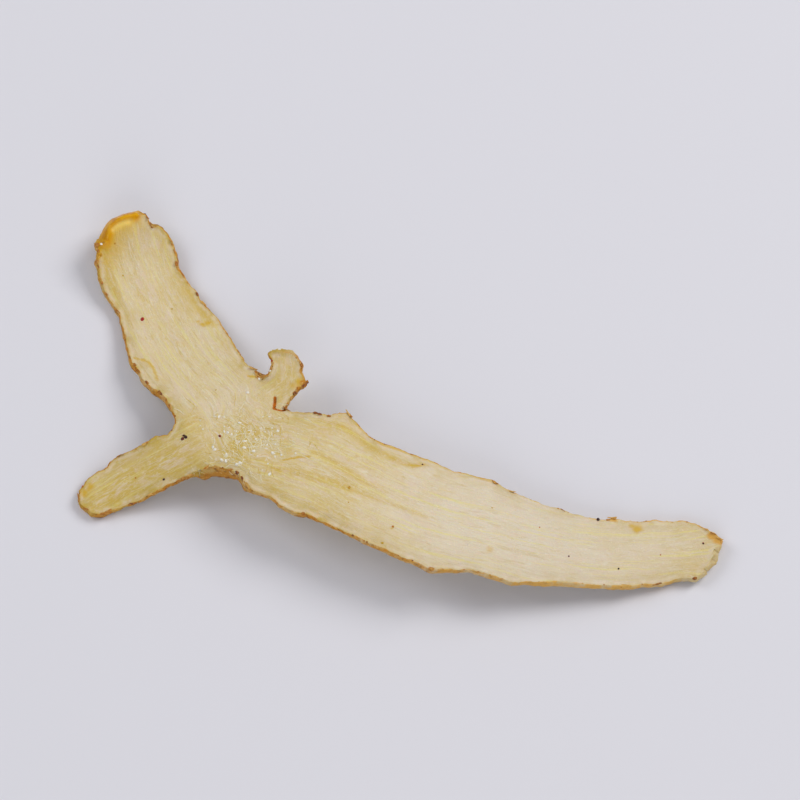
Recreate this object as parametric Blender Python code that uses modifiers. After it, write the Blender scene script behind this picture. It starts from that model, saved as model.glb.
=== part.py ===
"""One dried slice of Solomon's seal rhizome, cut lengthwise, lying on a flat surface.

The slice grew, and was cut, as one piece: a long arm with an elbow in it, a short side arm on the outer side of the
elbow, and the stub of a shoot on its inner side. It curled as it dried, so it arches up off the surface and touches
it in three places only: under the long arm near its amber tip, near its torn end, and under the side arm's end.

Metres, +Z up. The origin is the middle of the slice's footprint, on the surface that it lies on.
"""

import math
from collections import namedtuple

import bmesh
import bpy
from mathutils import Vector, noise

MM = 0.001

# Driving dimensions, in millimetres and degrees.
FLESH_THICKNESS = 1.9     # in the middle of an arm
RIM_THICKNESS = 1.35      # the bark band round the edge
TIP_THICKNESS = 2.9       # the swollen growing tip
TIP_REACH = 3.5           # how far from the tip the swelling is felt
RIM_BULGE = 0.35          # how far the bark band stands out at half its height
RIM_BELT = 3.2            # the rim's waves and its thinning die out this far in
PRESSED_BELOW = 0.15      # what hangs lower than this is pressed flat on the surface
SUBDIVISIONS = 2

# A cut is a straight line across an arm. x, y and lift place its middle; turn is the way its line points, from the
# left edge to the right edge; tilt is how far the right edge is raised; cup is how far the middle stands above the
# straight line between the edges.
Cut = namedtuple("Cut", "x y lift width turn tilt cup")

LONG_ARM = [
    Cut(-18.3, 35.7, 5.4, 4.6, 23, 2, 0.0),
    Cut(-18.2, 34.2, 4.7, 8.0, 24, 2, 0.2),
    Cut(-17.6, 32.0, 3.4, 10.8, 25, 2, -0.2),
    Cut(-16.4, 29.0, 2.0, 12.8, 27, 1, -0.4),
    Cut(-14.6, 24.7, 0.75, 12.8, 29, 0, -0.3),
    Cut(-11.6, 18.6, 1.6, 13.8, 30, -2, -0.4),
    Cut(-8.3, 12.3, 3.2, 16.0, 31, -3, -0.5),
    Cut(-4.8, 6.7, 4.8, 15.2, 32, -3, -0.4),
    Cut(-1.6, 3.5, 6.2, 15.0, 33, -2, -0.1),
    Cut(-0.1, -0.6, 7.0, 16.2, 39, 0, 0.2),
    Cut(2.2, -4.1, 7.5, 14.4, 46, 1, 0.4),
    Cut(7.9, -6.7, 8.0, 16.6, 56, 1, 0.6),
    Cut(14.2, -8.7, 8.3, 19.4, 64, -1, 0.8),
    Cut(20.2, -12.2, 8.1, 17.3, 68, -3, 0.8),
    Cut(27.3, -15.6, 7.6, 17.9, 71, -5, 0.7),
    Cut(34.2, -18.2, 6.9, 18.2, 74, -7, 0.6),
    Cut(41.1, -19.3, 5.9, 16.4, 77, -8, 0.5),
    Cut(48.1, -21.3, 4.8, 15.8, 80, -8, 0.4),
    Cut(55.1, -21.9, 3.6, 12.7, 83, -7, 0.3),
    Cut(62.1, -22.4, 2.3, 11.7, 86, -4, 0.2),
    Cut(68.6, -21.4, 1.1, 11.4, 88, -1, 0.0),
    Cut(73.6, -21.0, 0.75, 10.6, 86, 0, -0.1),
    Cut(77.2, -20.8, 1.2, 8.0, 80, 2, 0.0),
    Cut(79.2, -20.2, 1.6, 3.6, 72, 3, 0.0),
]
LONG_ARM_COLUMNS = 4

# The branches start on an edge of the long arm, over the gaps between these of its cuts.
SIDE_ARM_ROOT = (8, 10)
SIDE_ARM = [
    Cut(-9.3, -6.7, 5.4, 8.8, -55, -2, -0.2),
    Cut(-13.2, -8.3, 3.8, 7.9, -57, -2, -0.3),
    Cut(-17.4, -10.0, 2.1, 7.7, -54, 0, -0.3),
    Cut(-21.5, -12.2, 0.8, 7.4, -46, 2, -0.2),
    Cut(-24.3, -13.9, 0.9, 5.0, -43, 3, 0.0),
]
SHOOT_STUB_ROOT = (8, 10)
SHOOT_STUB = [
    Cut(8.2, 5.8, 7.2, 6.8, -30, -4, -0.2),
    Cut(8.5, 8.0, 7.6, 5.6, -19, -3, -0.3),
    Cut(8.2, 10.2, 8.1, 5.4, -8, 0, -0.2),
    Cut(7.8, 11.1, 8.7, 3.2, -3, 2, 0.0),
]

# Root scars stand out from the rim and nicks cut into it: x, y, how far out, and how wide.
Mark = namedtuple("Mark", "x y out width")
RIM_MARKS = [
    Mark(-23.5, 32.5, 0.7, 1.2),
    Mark(-23.0, 27.0, 0.6, 1.1),
    Mark(-19.5, 20.5, 0.5, 1.2),
    Mark(-6.3, 24.0, 0.8, 1.3),
    Mark(-3.0, 18.8, 0.6, 1.2),
    Mark(2.6, 10.8, 0.6, 1.2),
    Mark(-15.0, 7.5, -0.4, 1.4),
    Mark(11.0, -18.0, 0.9, 1.2),
    Mark(18.6, -0.2, 0.8, 1.6),
    Mark(31.8, -27.0, 0.9, 1.5),
    Mark(42.4, -11.4, 0.8, 1.5),
    Mark(50.0, -29.0, 0.6, 1.6),
    Mark(60.9, -17.0, 0.7, 1.3),
    Mark(74.8, -26.2, 0.9, 1.3),
    Mark(-18.5, -4.8, 0.6, 1.2),
    Mark(-12.8, -12.4, -0.4, 1.5),
    Mark(12.6, 5.6, 0.9, 1.3),
]

# Dried waves of the whole sheet, waves and fine teeth of its rim, and the fibre's ridges: height, length, and the
# level at which each is read from the noise field, which keeps them unlike one another.
Wave = namedtuple("Wave", "height length level")
BODY_WAVE = Wave(0.45, 17.0, 1.3)
RIM_WAVE = Wave(0.55, 6.5, 8.1)
RIM_TEETH = Wave(0.42, 1.9, 4.7)
RIDGES = [Wave(0.13, 3.1, 0.0), Wave(0.09, 2.2, 0.0)]
RIDGE_WANDER = 0.76       # how far the ridges wander to the side, in waves
WANDER_ALONG = 14.0       # the length of that wandering along the arm
WANDER_ACROSS = 6.0       # and across it

FLESH_COLOUR = (0.72, 0.62, 0.38, 1.0)
FLESH_ROUGHNESS = 0.62


def clear_scene():
    for thing in list(bpy.data.objects):
        bpy.data.objects.remove(thing, do_unlink=True)


def place_on_cut(cut, across):
    """The point of a cut that lies across its width, from -0.5 at the left edge to 0.5 at the right edge."""
    turn = math.radians(cut.turn)
    tilt = math.radians(cut.tilt)
    level = cut.width * across * math.cos(tilt)
    rise = cut.width * across * math.sin(tilt) + cut.cup * (1.0 - 4.0 * across * across)
    return Vector((cut.x + level * math.cos(turn), cut.y + level * math.sin(turn), cut.lift + rise))


def distances_along(cuts, start):
    """How far along its arm each cut lies, from the point start."""
    distances = []
    walked = 0.0
    last = start
    for cut in cuts:
        middle = Vector((cut.x, cut.y))
        walked += (middle - last).length
        distances.append(walked)
        last = middle
    return distances


def new_cage():
    """A sheet of quads for the long arm, with the fibre's own coordinates kept on its points."""
    cage = bmesh.new()
    last = len(LONG_ARM) - 1
    bmesh.ops.create_grid(cage, x_segments=last, y_segments=LONG_ARM_COLUMNS, size=0.5)
    along = cage.verts.layers.float.new("along")
    across = cage.verts.layers.float.new("across")
    walked = distances_along(LONG_ARM, Vector((LONG_ARM[0].x, LONG_ARM[0].y)))
    rows = [[] for _ in LONG_ARM]
    for vert in cage.verts:
        number = round((vert.co.x + 0.5) * last)
        side = vert.co.y
        vert.co = place_on_cut(LONG_ARM[number], side)
        vert[along] = walked[number]
        vert[across] = side * LONG_ARM[number].width
        rows[number].append((side, vert))
    ordered = [[vert for _, vert in sorted(row, key=lambda pair: pair[0])] for row in rows]
    return cage, ordered


def grow_branch(cage, root, cuts):
    """Extrude the row of points called root through the branch's cuts, one after the other."""
    along = cage.verts.layers.float["along"]
    across = cage.verts.layers.float["across"]
    start = sum((vert.co for vert in root), Vector()) / len(root)
    walked = distances_along(cuts, start.xy)
    row = root
    for cut, distance in zip(cuts, walked):
        edges = [cage.edges.get(pair) for pair in zip(row[:-1], row[1:])]
        made = bmesh.ops.extrude_edge_only(cage, edges=edges)["geom"]
        fresh = [item for item in made if isinstance(item, bmesh.types.BMVert)]
        row = [min(fresh, key=lambda vert, old=old: (vert.co - old.co).length) for old in row]
        for number, vert in enumerate(row):
            side = number / (len(row) - 1) - 0.5
            vert.co = place_on_cut(cut, side)
            vert[along] = distance
            vert[across] = side * cut.width
    cage.normal_update()


def build_sheet():
    """The slice's middle surface: the cage, smoothed by Subdivision Surface."""
    cage, rows = new_cage()
    first, last = SIDE_ARM_ROOT
    grow_branch(cage, [rows[number][0] for number in range(first, last + 1)], SIDE_ARM)
    first, last = SHOOT_STUB_ROOT
    grow_branch(cage, [rows[number][-1] for number in range(first, last + 1)], SHOOT_STUB)
    bmesh.ops.recalc_face_normals(cage, faces=cage.faces)
    mesh = bpy.data.meshes.new("sheet")
    cage.to_mesh(mesh)
    cage.free()
    sheet = bpy.data.objects.new("sheet", mesh)
    bpy.context.scene.collection.objects.link(sheet)
    smooth = sheet.modifiers.new("smooth", "SUBSURF")
    smooth.levels = SUBDIVISIONS
    smooth.render_levels = SUBDIVISIONS
    return bake(sheet)


def bake(thing):
    """The object's evaluated mesh; the object itself is removed."""
    evaluated = thing.evaluated_get(bpy.context.evaluated_depsgraph_get())
    mesh = bpy.data.meshes.new_from_object(evaluated)
    bpy.data.objects.remove(thing, do_unlink=True)
    return mesh


def outward(vert):
    """The level direction that points away from the sheet, at a point of its rim."""
    centre = sum((face.calc_center_median() for face in vert.link_faces), Vector()) / len(vert.link_faces)
    borders = [edge.other_vert(vert).co - vert.co for edge in vert.link_edges if edge.is_boundary]
    tangent = (borders[0] - borders[1]).xy.normalized()
    away = Vector((tangent.y, -tangent.x, 0.0))
    if away.dot(vert.co - centre) < 0.0:
        away.negate()
    return away


def wave_at(wave, point):
    """The height of a wave at a point of the plan."""
    return wave.height * noise.noise(Vector((point.x / wave.length, point.y / wave.length, wave.level)))


def tip_nearness(point):
    """1 at the growing tip, fading to 0 about two reaches away."""
    apart = math.hypot(point.x - LONG_ARM[1].x, point.y - LONG_ARM[1].y) / TIP_REACH
    return math.exp(-apart * apart)


def rim_offset(point):
    """How far a rim point is pushed out: fine teeth all round but the tip, and the marks at their places."""
    offset = wave_at(RIM_TEETH, point) * (1.0 - tip_nearness(point))
    for mark in RIM_MARKS:
        apart = math.hypot(point.x - mark.x, point.y - mark.y) / mark.width
        offset += mark.out * math.exp(-apart * apart)
    return offset


def wave_sheet(sheet):
    """Give the flat-lying sheet its ragged rim and its dried waves."""
    near_rim = rim_nearness(sheet)
    pushes = [(vert, outward(vert)) for vert in sheet.verts if vert.is_boundary]
    pushes = [(vert, away * rim_offset(vert.co)) for vert, away in pushes]
    for vert, push in pushes:
        vert.co += push
    for vert in sheet.verts:
        vert.co.z += wave_at(BODY_WAVE, vert.co) + wave_at(RIM_WAVE, vert.co) * near_rim[vert.index] ** 2


def rim_nearness(sheet):
    """1 on the rim, falling to 0 at RIM_BELT inside it, for each point of the sheet."""
    rim = [vert.co.copy() for vert in sheet.verts if vert.is_boundary]
    nearness = []
    for vert in sheet.verts:
        gap = min((vert.co - other).length for other in rim)
        nearness.append(max(0.0, 1.0 - gap / RIM_BELT))
    return nearness


def thickness_at(point, nearness):
    plain = FLESH_THICKNESS + (RIM_THICKNESS - FLESH_THICKNESS) * nearness ** 2
    return plain + (TIP_THICKNESS - plain) * tip_nearness(point)


def thicken(mesh):
    """Solidify the sheet, both ways from its middle, and round the bark band."""
    thing = bpy.data.objects.new("thick", mesh)
    bpy.context.scene.collection.objects.link(thing)
    group = thing.vertex_groups.new(name="thickness")
    sheet = bmesh.new()
    sheet.from_mesh(mesh)
    nearness = rim_nearness(sheet)
    count = len(sheet.verts)
    sheet.free()
    for vert in mesh.vertices:
        share = thickness_at(vert.co, nearness[vert.index]) / TIP_THICKNESS
        group.add([vert.index], min(1.0, share), "REPLACE")
    solid = thing.modifiers.new("thickness", "SOLIDIFY")
    solid.thickness = TIP_THICKNESS
    solid.offset = 0.0
    solid.vertex_group = group.name
    return bake(thing), count


def round_rim(body, count):
    """Split the bark band at half its height and push that line out."""
    body.verts.ensure_lookup_table()
    band = [edge for edge in body.edges if abs(edge.verts[0].index - edge.verts[1].index) == count]
    made = bmesh.ops.subdivide_edges(body, edges=band, cuts=1)["geom_inner"]
    middles = {item for item in made if isinstance(item, bmesh.types.BMVert)}
    pushes = []
    for vert in middles:
        along_band = [edge.other_vert(vert) for edge in vert.link_edges if edge.other_vert(vert) in middles]
        tangent = (along_band[0].co - along_band[1].co).normalized()
        walls = [edge.other_vert(vert) for edge in vert.link_edges if edge.other_vert(vert) not in middles]
        upright = (walls[0].co - walls[1].co).normalized()
        away = tangent.cross(upright).normalized()
        inside = sum((edge.other_vert(wall).co for wall in walls for edge in wall.link_edges), Vector())
        inside /= sum(len(wall.link_edges) for wall in walls)
        if away.dot(vert.co - inside) < 0.0:
            away.negate()
        pushes.append((vert, away * RIM_BULGE))
    for vert, push in pushes:
        vert.co += push


def raise_ridges(body):
    """Lengthwise fibre ridges on both faces, in the fibre's own coordinates."""
    along = body.verts.layers.float["along"]
    across = body.verts.layers.float["across"]
    body.normal_update()
    pushes = []
    for vert in body.verts:
        face_side = math.copysign(1.0, vert.normal.z)
        place = Vector((vert[along] / WANDER_ALONG, vert[across] / WANDER_ACROSS, face_side))
        wander = RIDGE_WANDER * noise.noise(place)
        height = 0.0
        for ridge in RIDGES:
            turns = vert[across] / ridge.length + wander
            height += ridge.height * math.sin(2.0 * math.pi * turns + face_side)
        pushes.append((vert, vert.normal * height * abs(vert.normal.z)))
    for vert, push in pushes:
        vert.co += push


def settle(body):
    """Press flat what reaches the surface, and put the origin under the middle of the footprint."""
    for vert in body.verts:
        if vert.co.z < PRESSED_BELOW:
            vert.co.z = 0.0
    low_x = min(vert.co.x for vert in body.verts)
    high_x = max(vert.co.x for vert in body.verts)
    low_y = min(vert.co.y for vert in body.verts)
    high_y = max(vert.co.y for vert in body.verts)
    middle = Vector(((low_x + high_x) / 2.0, (low_y + high_y) / 2.0, 0.0))
    for vert in body.verts:
        vert.co = (vert.co - middle) * MM


def flesh_material():
    material = bpy.data.materials.new("dried_flesh")
    material.use_nodes = True
    shader = material.node_tree.nodes["Principled BSDF"]
    shader.inputs["Base Color"].default_value = FLESH_COLOUR
    shader.inputs["Roughness"].default_value = FLESH_ROUGHNESS
    shader.inputs["Metallic"].default_value = 0.0
    return material


def build_slice():
    """The whole slice as one closed body."""
    mesh = build_sheet()
    sheet = bmesh.new()
    sheet.from_mesh(mesh)
    sheet.verts.ensure_lookup_table()
    wave_sheet(sheet)
    bmesh.ops.triangulate(sheet, faces=sheet.faces, quad_method="FIXED")
    sheet.to_mesh(mesh)
    sheet.free()
    mesh, count = thicken(mesh)
    body = bmesh.new()
    body.from_mesh(mesh)
    round_rim(body, count)
    raise_ridges(body)
    settle(body)
    bmesh.ops.triangulate(body, faces=body.faces)
    bmesh.ops.recalc_face_normals(body, faces=body.faces)
    body.to_mesh(mesh)
    body.free()
    mesh.name = "rhizome_slice"
    mesh.materials.clear()
    mesh.materials.append(flesh_material())
    mesh.shade_smooth()
    slice_object = bpy.data.objects.new("rhizome_slice", mesh)
    home = bpy.data.collections.new("dried_solomons_seal_slice")
    bpy.context.scene.collection.children.link(home)
    home.objects.link(slice_object)


clear_scene()
build_slice()
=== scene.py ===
# %% [markdown]
# # A dried slice of Solomon's seal
#
# The real thing is one lengthwise slice of a rhizome: a long arm with an elbow, a short side arm, and the stub
# of a shoot. It was cut fresh and left to dry, so it arched and its rim went wavy. The flesh is pale, fibrous
# and a little translucent, the bark has shrunk to a thin brown skin round the rim, and the growing tip has
# turned to amber.
#
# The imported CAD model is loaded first. It fixes the frame: metres, +Z up, the origin on the surface under the
# slice.

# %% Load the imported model
import math
import random
from collections import namedtuple

import bpy
import numpy as np
from mathutils import Matrix, Vector, kdtree, noise
from mathutils.bvhtree import BVHTree


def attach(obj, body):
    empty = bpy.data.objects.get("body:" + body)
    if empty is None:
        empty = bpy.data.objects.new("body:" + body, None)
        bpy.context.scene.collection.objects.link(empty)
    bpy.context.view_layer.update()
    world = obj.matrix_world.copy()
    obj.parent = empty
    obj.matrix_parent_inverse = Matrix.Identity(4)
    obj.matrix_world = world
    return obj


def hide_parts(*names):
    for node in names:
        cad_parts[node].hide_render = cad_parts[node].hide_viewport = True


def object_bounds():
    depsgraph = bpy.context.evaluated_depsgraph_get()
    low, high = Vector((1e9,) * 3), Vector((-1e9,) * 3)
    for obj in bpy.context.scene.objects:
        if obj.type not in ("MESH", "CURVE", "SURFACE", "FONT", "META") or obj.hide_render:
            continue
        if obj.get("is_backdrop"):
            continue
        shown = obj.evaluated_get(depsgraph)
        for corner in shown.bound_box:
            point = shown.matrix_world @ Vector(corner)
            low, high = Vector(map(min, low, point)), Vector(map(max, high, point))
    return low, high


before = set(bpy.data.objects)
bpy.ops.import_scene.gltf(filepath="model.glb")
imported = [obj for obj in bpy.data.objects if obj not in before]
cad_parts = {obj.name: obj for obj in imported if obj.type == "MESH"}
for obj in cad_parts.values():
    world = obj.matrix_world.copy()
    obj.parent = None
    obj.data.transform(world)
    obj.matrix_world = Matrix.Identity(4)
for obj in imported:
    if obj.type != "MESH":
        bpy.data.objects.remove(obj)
cad_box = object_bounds()
MM = 0.001
print("CAD node:", list(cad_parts), "box in mm:", [round(v / MM, 1) for v in (*cad_box[0], *cad_box[1])])

# %% [markdown]
# ## Camera and studio
#
# The photograph looks down on the slice from in front at about 68 degrees. A long lens far away keeps the two
# ends of the slice at the same scale, as in the photograph. Two large soft lights stand behind, the right one
# the stronger, so the shadows are soft and fall to the left, and a weak one in front lifts the edges that face
# the camera. The colours come out as they are set with the Standard view.

# %% Camera
CAMERA_ELEVATION = math.radians(68.5)
CAMERA_LENS = 600.0
FIELD = 130 * MM
AIM = Vector((0.0, 0.0, 5 * MM))

view_back = Vector((0.0, -math.cos(CAMERA_ELEVATION), math.sin(CAMERA_ELEVATION)))
camera_data = bpy.data.cameras.new("camera")
camera_data.lens = CAMERA_LENS
camera_data.sensor_width = 36.0
camera_data.clip_start = 0.01
camera = bpy.data.objects.new("camera", camera_data)
camera.location = AIM + view_back * (FIELD * CAMERA_LENS / camera_data.sensor_width)
camera.rotation_mode = "QUATERNION"
camera.rotation_quaternion = (-view_back).to_track_quat("-Z", "Y")
bpy.context.scene.collection.objects.link(camera)
bpy.context.scene.camera = camera
bpy.context.scene.view_settings.view_transform = "Standard"
print("camera", round((camera.location - AIM).length, 3), "m from the slice")

# %% Floor and lights
FLOOR_COLOUR = (0.74, 0.735, 0.785, 1.0)


def new_material(name):
    """A new material, and the inputs of its shader."""
    material = bpy.data.materials.new(name)
    material.use_nodes = True
    return material, material.node_tree.nodes["Principled BSDF"].inputs


def new_shape(operator, **settings):
    """Add a primitive with nothing else selected, and return its object."""
    bpy.ops.object.select_all(action="DESELECT")
    operator(**settings)
    return bpy.context.object


floor_material, floor_inputs = new_material("pale_floor")
floor_inputs["Base Color"].default_value = FLOOR_COLOUR
floor_inputs["Roughness"].default_value = 0.55
floor = new_shape(bpy.ops.mesh.primitive_plane_add, size=6.0)
floor.name = "floor"
floor.data.materials.append(floor_material)
floor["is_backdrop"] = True


def soft_light(name, place, side, watts, colour):
    """A square area light that faces the slice."""
    data = bpy.data.lights.new(name, "AREA")
    data.size = side
    data.energy = watts
    data.color = colour
    light = bpy.data.objects.new(name, data)
    light.location = place
    light.rotation_mode = "QUATERNION"
    light.rotation_quaternion = (AIM - Vector(place)).to_track_quat("-Z", "Y")
    bpy.context.scene.collection.objects.link(light)


soft_light("right_softbox", (0.75, 0.45, 0.85), 0.60, 8.0, (1.0, 0.985, 0.96))
soft_light("left_softbox", (-0.85, 0.35, 0.80), 0.60, 4.0, (0.97, 0.98, 1.0))
soft_light("front_softbox", (-0.05, -0.95, 0.55), 0.80, 3.1, (1.0, 0.99, 0.97))
world = bpy.data.worlds.new("pale_room")
world.use_nodes = True
sky = world.node_tree.nodes["Background"].inputs
sky["Color"].default_value = (0.93, 0.94, 1.0, 1.0)
sky["Strength"].default_value = 0.32
bpy.context.scene.world = world

# %% [markdown]
# ## The slice as a row of cuts
#
# A sheet that bends, narrows and arches is easiest to draw as straight cuts across it. Each cut says where its
# middle lies, how high and how wide it is, which way it points, how its line is tilted and how far its middle
# is cupped. The numbers are those of the CAD source, in millimetres and degrees, so both have the same shape.
# They are measured from the elbow, and MIDDLE is where the middle of the footprint lies in that drawing.

# %% The cuts of the three arms
Cut = namedtuple("Cut", "x y lift width turn tilt cup")

LONG_ARM = [Cut(*numbers) for numbers in (
    (-18.3, 35.7, 5.4, 4.6, 23, 2, 0.0), (-18.2, 34.2, 4.7, 8.0, 24, 2, 0.2),
    (-17.6, 32.0, 3.4, 10.8, 25, 2, -0.2), (-16.4, 29.0, 2.0, 12.8, 27, 1, -0.4),
    (-14.6, 24.7, 0.75, 12.8, 29, 0, -0.3), (-11.6, 18.6, 1.6, 13.8, 30, -2, -0.4),
    (-8.3, 12.3, 3.2, 16.0, 31, -3, -0.5), (-4.8, 6.7, 4.8, 15.2, 32, -3, -0.4),
    (-1.6, 3.5, 6.2, 15.0, 33, -2, -0.1), (-0.1, -0.6, 7.0, 16.2, 39, 0, 0.2), (2.2, -4.1, 7.5, 14.4, 46, 1, 0.4),
    (7.9, -6.7, 8.0, 16.6, 56, 1, 0.6), (14.2, -8.7, 8.3, 19.4, 64, -1, 0.8),
    (20.2, -12.2, 8.1, 17.3, 68, -3, 0.8), (27.3, -15.6, 7.6, 17.9, 71, -5, 0.7),
    (34.2, -18.2, 6.9, 18.2, 74, -7, 0.6), (41.1, -19.3, 5.9, 16.4, 77, -8, 0.5),
    (48.1, -21.3, 4.8, 15.8, 80, -8, 0.4), (55.1, -21.9, 3.6, 12.7, 83, -7, 0.3),
    (62.1, -22.4, 2.3, 11.7, 86, -4, 0.2), (68.6, -21.4, 1.1, 11.4, 88, -1, 0.0),
    (73.6, -21.0, 0.75, 10.6, 86, 0, -0.1), (77.2, -20.8, 1.2, 8.0, 80, 2, 0.0),
    (79.2, -20.2, 1.6, 3.6, 72, 3, 0.0),
)]
COLUMNS = 4
BRANCH_ROOT = (8, 10)
SIDE_ARM = [Cut(*numbers) for numbers in (
    (-9.3, -6.7, 5.4, 8.8, -55, -2, -0.2), (-13.2, -8.3, 3.8, 7.9, -57, -2, -0.3),
    (-17.4, -10.0, 2.1, 7.7, -54, 0, -0.3), (-21.5, -12.2, 0.8, 7.4, -46, 2, -0.2),
    (-24.3, -13.9, 0.9, 5.0, -43, 3, 0.0),
)]
SHOOT_STUB = [Cut(*numbers) for numbers in (
    (8.2, 5.8, 7.2, 6.8, -30, -4, -0.2), (8.5, 8.0, 7.6, 5.6, -19, -3, -0.3), (8.2, 10.2, 8.1, 5.4, -8, 0, -0.2),
    (7.8, 11.1, 8.7, 3.2, -3, 2, 0.0),
)]
MIDDLE = Vector((27.04, 3.90, 0.0))


def place_on_cut(cut, side):
    """The point of a cut that lies across its width, from -0.5 at the left edge to 0.5 at the right edge."""
    turn = math.radians(cut.turn)
    tilt = math.radians(cut.tilt)
    level = cut.width * side * math.cos(tilt)
    rise = cut.width * side * math.sin(tilt) + cut.cup * (1.0 - 4.0 * side * side)
    return Vector((cut.x + level * math.cos(turn), cut.y + level * math.sin(turn), cut.lift + rise))


def distances_along(cuts, start):
    """How far along its arm each cut lies, from the point start."""
    places = [start] + [(cut.x, cut.y) for cut in cuts]
    return np.cumsum([math.dist(*pair) for pair in zip(places[:-1], places[1:])]).tolist()


long_distances = distances_along(LONG_ARM, (LONG_ARM[0].x, LONG_ARM[0].y))
print("the long arm is", round(long_distances[-1], 1), "mm along its middle")

# %% [markdown]
# ## The cage of the long arm
#
# A grid primitive has one row of points for each cut. Every row is laid on its cut. Each point also keeps two
# numbers of its own: how far along the arm it lies, and how far to the side. Subdivision spreads them over the
# finished surface, so that the fibre can later follow the arm round its elbow.

# %% The long arm's cage
def fetch(items, name, width=1, kind=np.float32):
    """One property of every item of a collection, as an array."""
    values = np.empty(len(items) * width, kind)
    items.foreach_get(name, values)
    return values if width == 1 else values.reshape(-1, width)


def add_values(mesh, name, values):
    """Keep a number, or a triple of numbers, on each point of a mesh."""
    values = np.asarray(values, np.float32)
    kind = "FLOAT" if values.ndim == 1 else "FLOAT_VECTOR"
    layer = mesh.attributes.get(name) or mesh.attributes.new(name, kind, "POINT")
    layer.data.foreach_set("value" if kind == "FLOAT" else "vector", values.ravel())


def read_values(mesh, name):
    layer = mesh.attributes[name]
    name, width = ("value", 1) if layer.data_type == "FLOAT" else ("vector", 3)
    return fetch(layer.data, name, width).astype(float)


last_cut = len(LONG_ARM) - 1
slice_piece = new_shape(bpy.ops.mesh.primitive_grid_add, x_subdivisions=last_cut, y_subdivisions=COLUMNS, size=1.0)
slice_piece.name = "dried_slice"
cage = slice_piece.data
rows = [[] for _ in LONG_ARM]
along = []
side = []
for vert in cage.vertices:
    number = round((vert.co.x + 0.5) * last_cut)
    rows[number].append((vert.co.y, vert.index))
    along.append(long_distances[number])
    side.append(vert.co.y)
    vert.co = place_on_cut(LONG_ARM[number], vert.co.y)
rows = [[index for _, index in sorted(row)] for row in rows]
add_values(cage, "along", along)
add_values(cage, "side", side)
print("cage:", len(rows), "rows of", len(rows[0]), "points")

# %% [markdown]
# ## The branches
#
# The side arm and the shoot's stub grow out of the long arm's two edges. Each starts from three points of an
# edge, and that row is extruded once for every cut of the branch, so the flesh runs on into it with no seam.

# %% Extrude the side arm and the stub
def pick_edges(mesh, row):
    """Select the edges that join a row of points, and nothing else."""
    wanted = {frozenset(pair) for pair in zip(row[:-1], row[1:])}
    for face in mesh.polygons:
        face.select = False
    for vert in mesh.vertices:
        vert.select = vert.index in row
    for edge in mesh.edges:
        edge.select = frozenset(edge.vertices) in wanted


def extrude_to(thing, row, cut):
    """Extrude a row of points on to a cut, and return the new row in the same order."""
    mesh = thing.data
    pick_edges(mesh, row)
    bpy.ops.object.mode_set(mode="EDIT")
    bpy.ops.mesh.select_mode(type="EDGE")
    bpy.ops.mesh.extrude_edges_move()
    bpy.ops.object.mode_set(mode="OBJECT")
    fresh = [vert.index for vert in mesh.vertices if vert.select]
    new_row = []
    for index in row:
        old = mesh.vertices[index].co
        new_row.append(min(fresh, key=lambda other: (mesh.vertices[other].co - old).length))
    for number, index in enumerate(new_row):
        mesh.vertices[index].co = place_on_cut(cut, number / (len(row) - 1) - 0.5)
    return new_row


first, last = BRANCH_ROOT
for edge_side, cuts in ((0, SIDE_ARM), (-1, SHOOT_STUB)):
    row = [rows[number][edge_side] for number in range(first, last + 1)]
    for cut in cuts:
        row = extrude_to(slice_piece, row, cut)
bpy.ops.object.mode_set(mode="EDIT")
bpy.ops.mesh.select_all(action="SELECT")
bpy.ops.mesh.normals_make_consistent(inside=False)
bpy.ops.object.mode_set(mode="OBJECT")
if sum(face.normal.z for face in cage.polygons) < 0.0:
    cage.flip_normals()
print("cage with its branches:", len(cage.vertices), "points,", len(cage.polygons), "faces")

# %% [markdown]
# ## Round the cage
#
# Subdivision Surface rounds the cage into a smooth sheet. Four levels make faces of a quarter to half a
# millimetre, small enough for the fibre's ridges to be real shape instead of shading.

# %% Subdivide
SUBDIVISIONS = 4


def apply_modifier(thing, kind, **settings):
    """Add a modifier, set it up and apply it."""
    modifier = thing.modifiers.new(kind.lower(), kind)
    for name, value in settings.items():
        setattr(modifier, name, value)
    bpy.ops.object.select_all(action="DESELECT")
    thing.select_set(True)
    bpy.context.view_layer.objects.active = thing
    bpy.ops.object.modifier_apply(modifier=modifier.name)


apply_modifier(slice_piece, "SUBSURF", levels=SUBDIVISIONS, render_levels=SUBDIVISIONS)
sheet = slice_piece.data
print("sheet:", len(sheet.vertices), "points,", len(sheet.polygons), "faces")

# %% [markdown]
# ## The ragged rim
#
# The bark tore into teeth when the slice was cut, and the scars of old roots stand out from it. The outline was
# measured all round the slice, and its corners are where the rim turns sharply: the crotches, the tip, the stub
# and the far end. The rim's points are those on edges with a single face. Each stretch of the rim is laid on
# the same stretch of the outline. The flesh inside follows it, less and less. Then every point inside is drawn
# again and again to the middle of its neighbours, which opens the faces that were squeezed, so that nothing
# folds over.

# %% Find the rim, and which way is out
def read_points(mesh):
    return fetch(mesh.vertices, "co", 3).astype(float)


def write_points(mesh, points):
    mesh.vertices.foreach_set("co", points.astype(np.float32).ravel())
    mesh.update()


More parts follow.
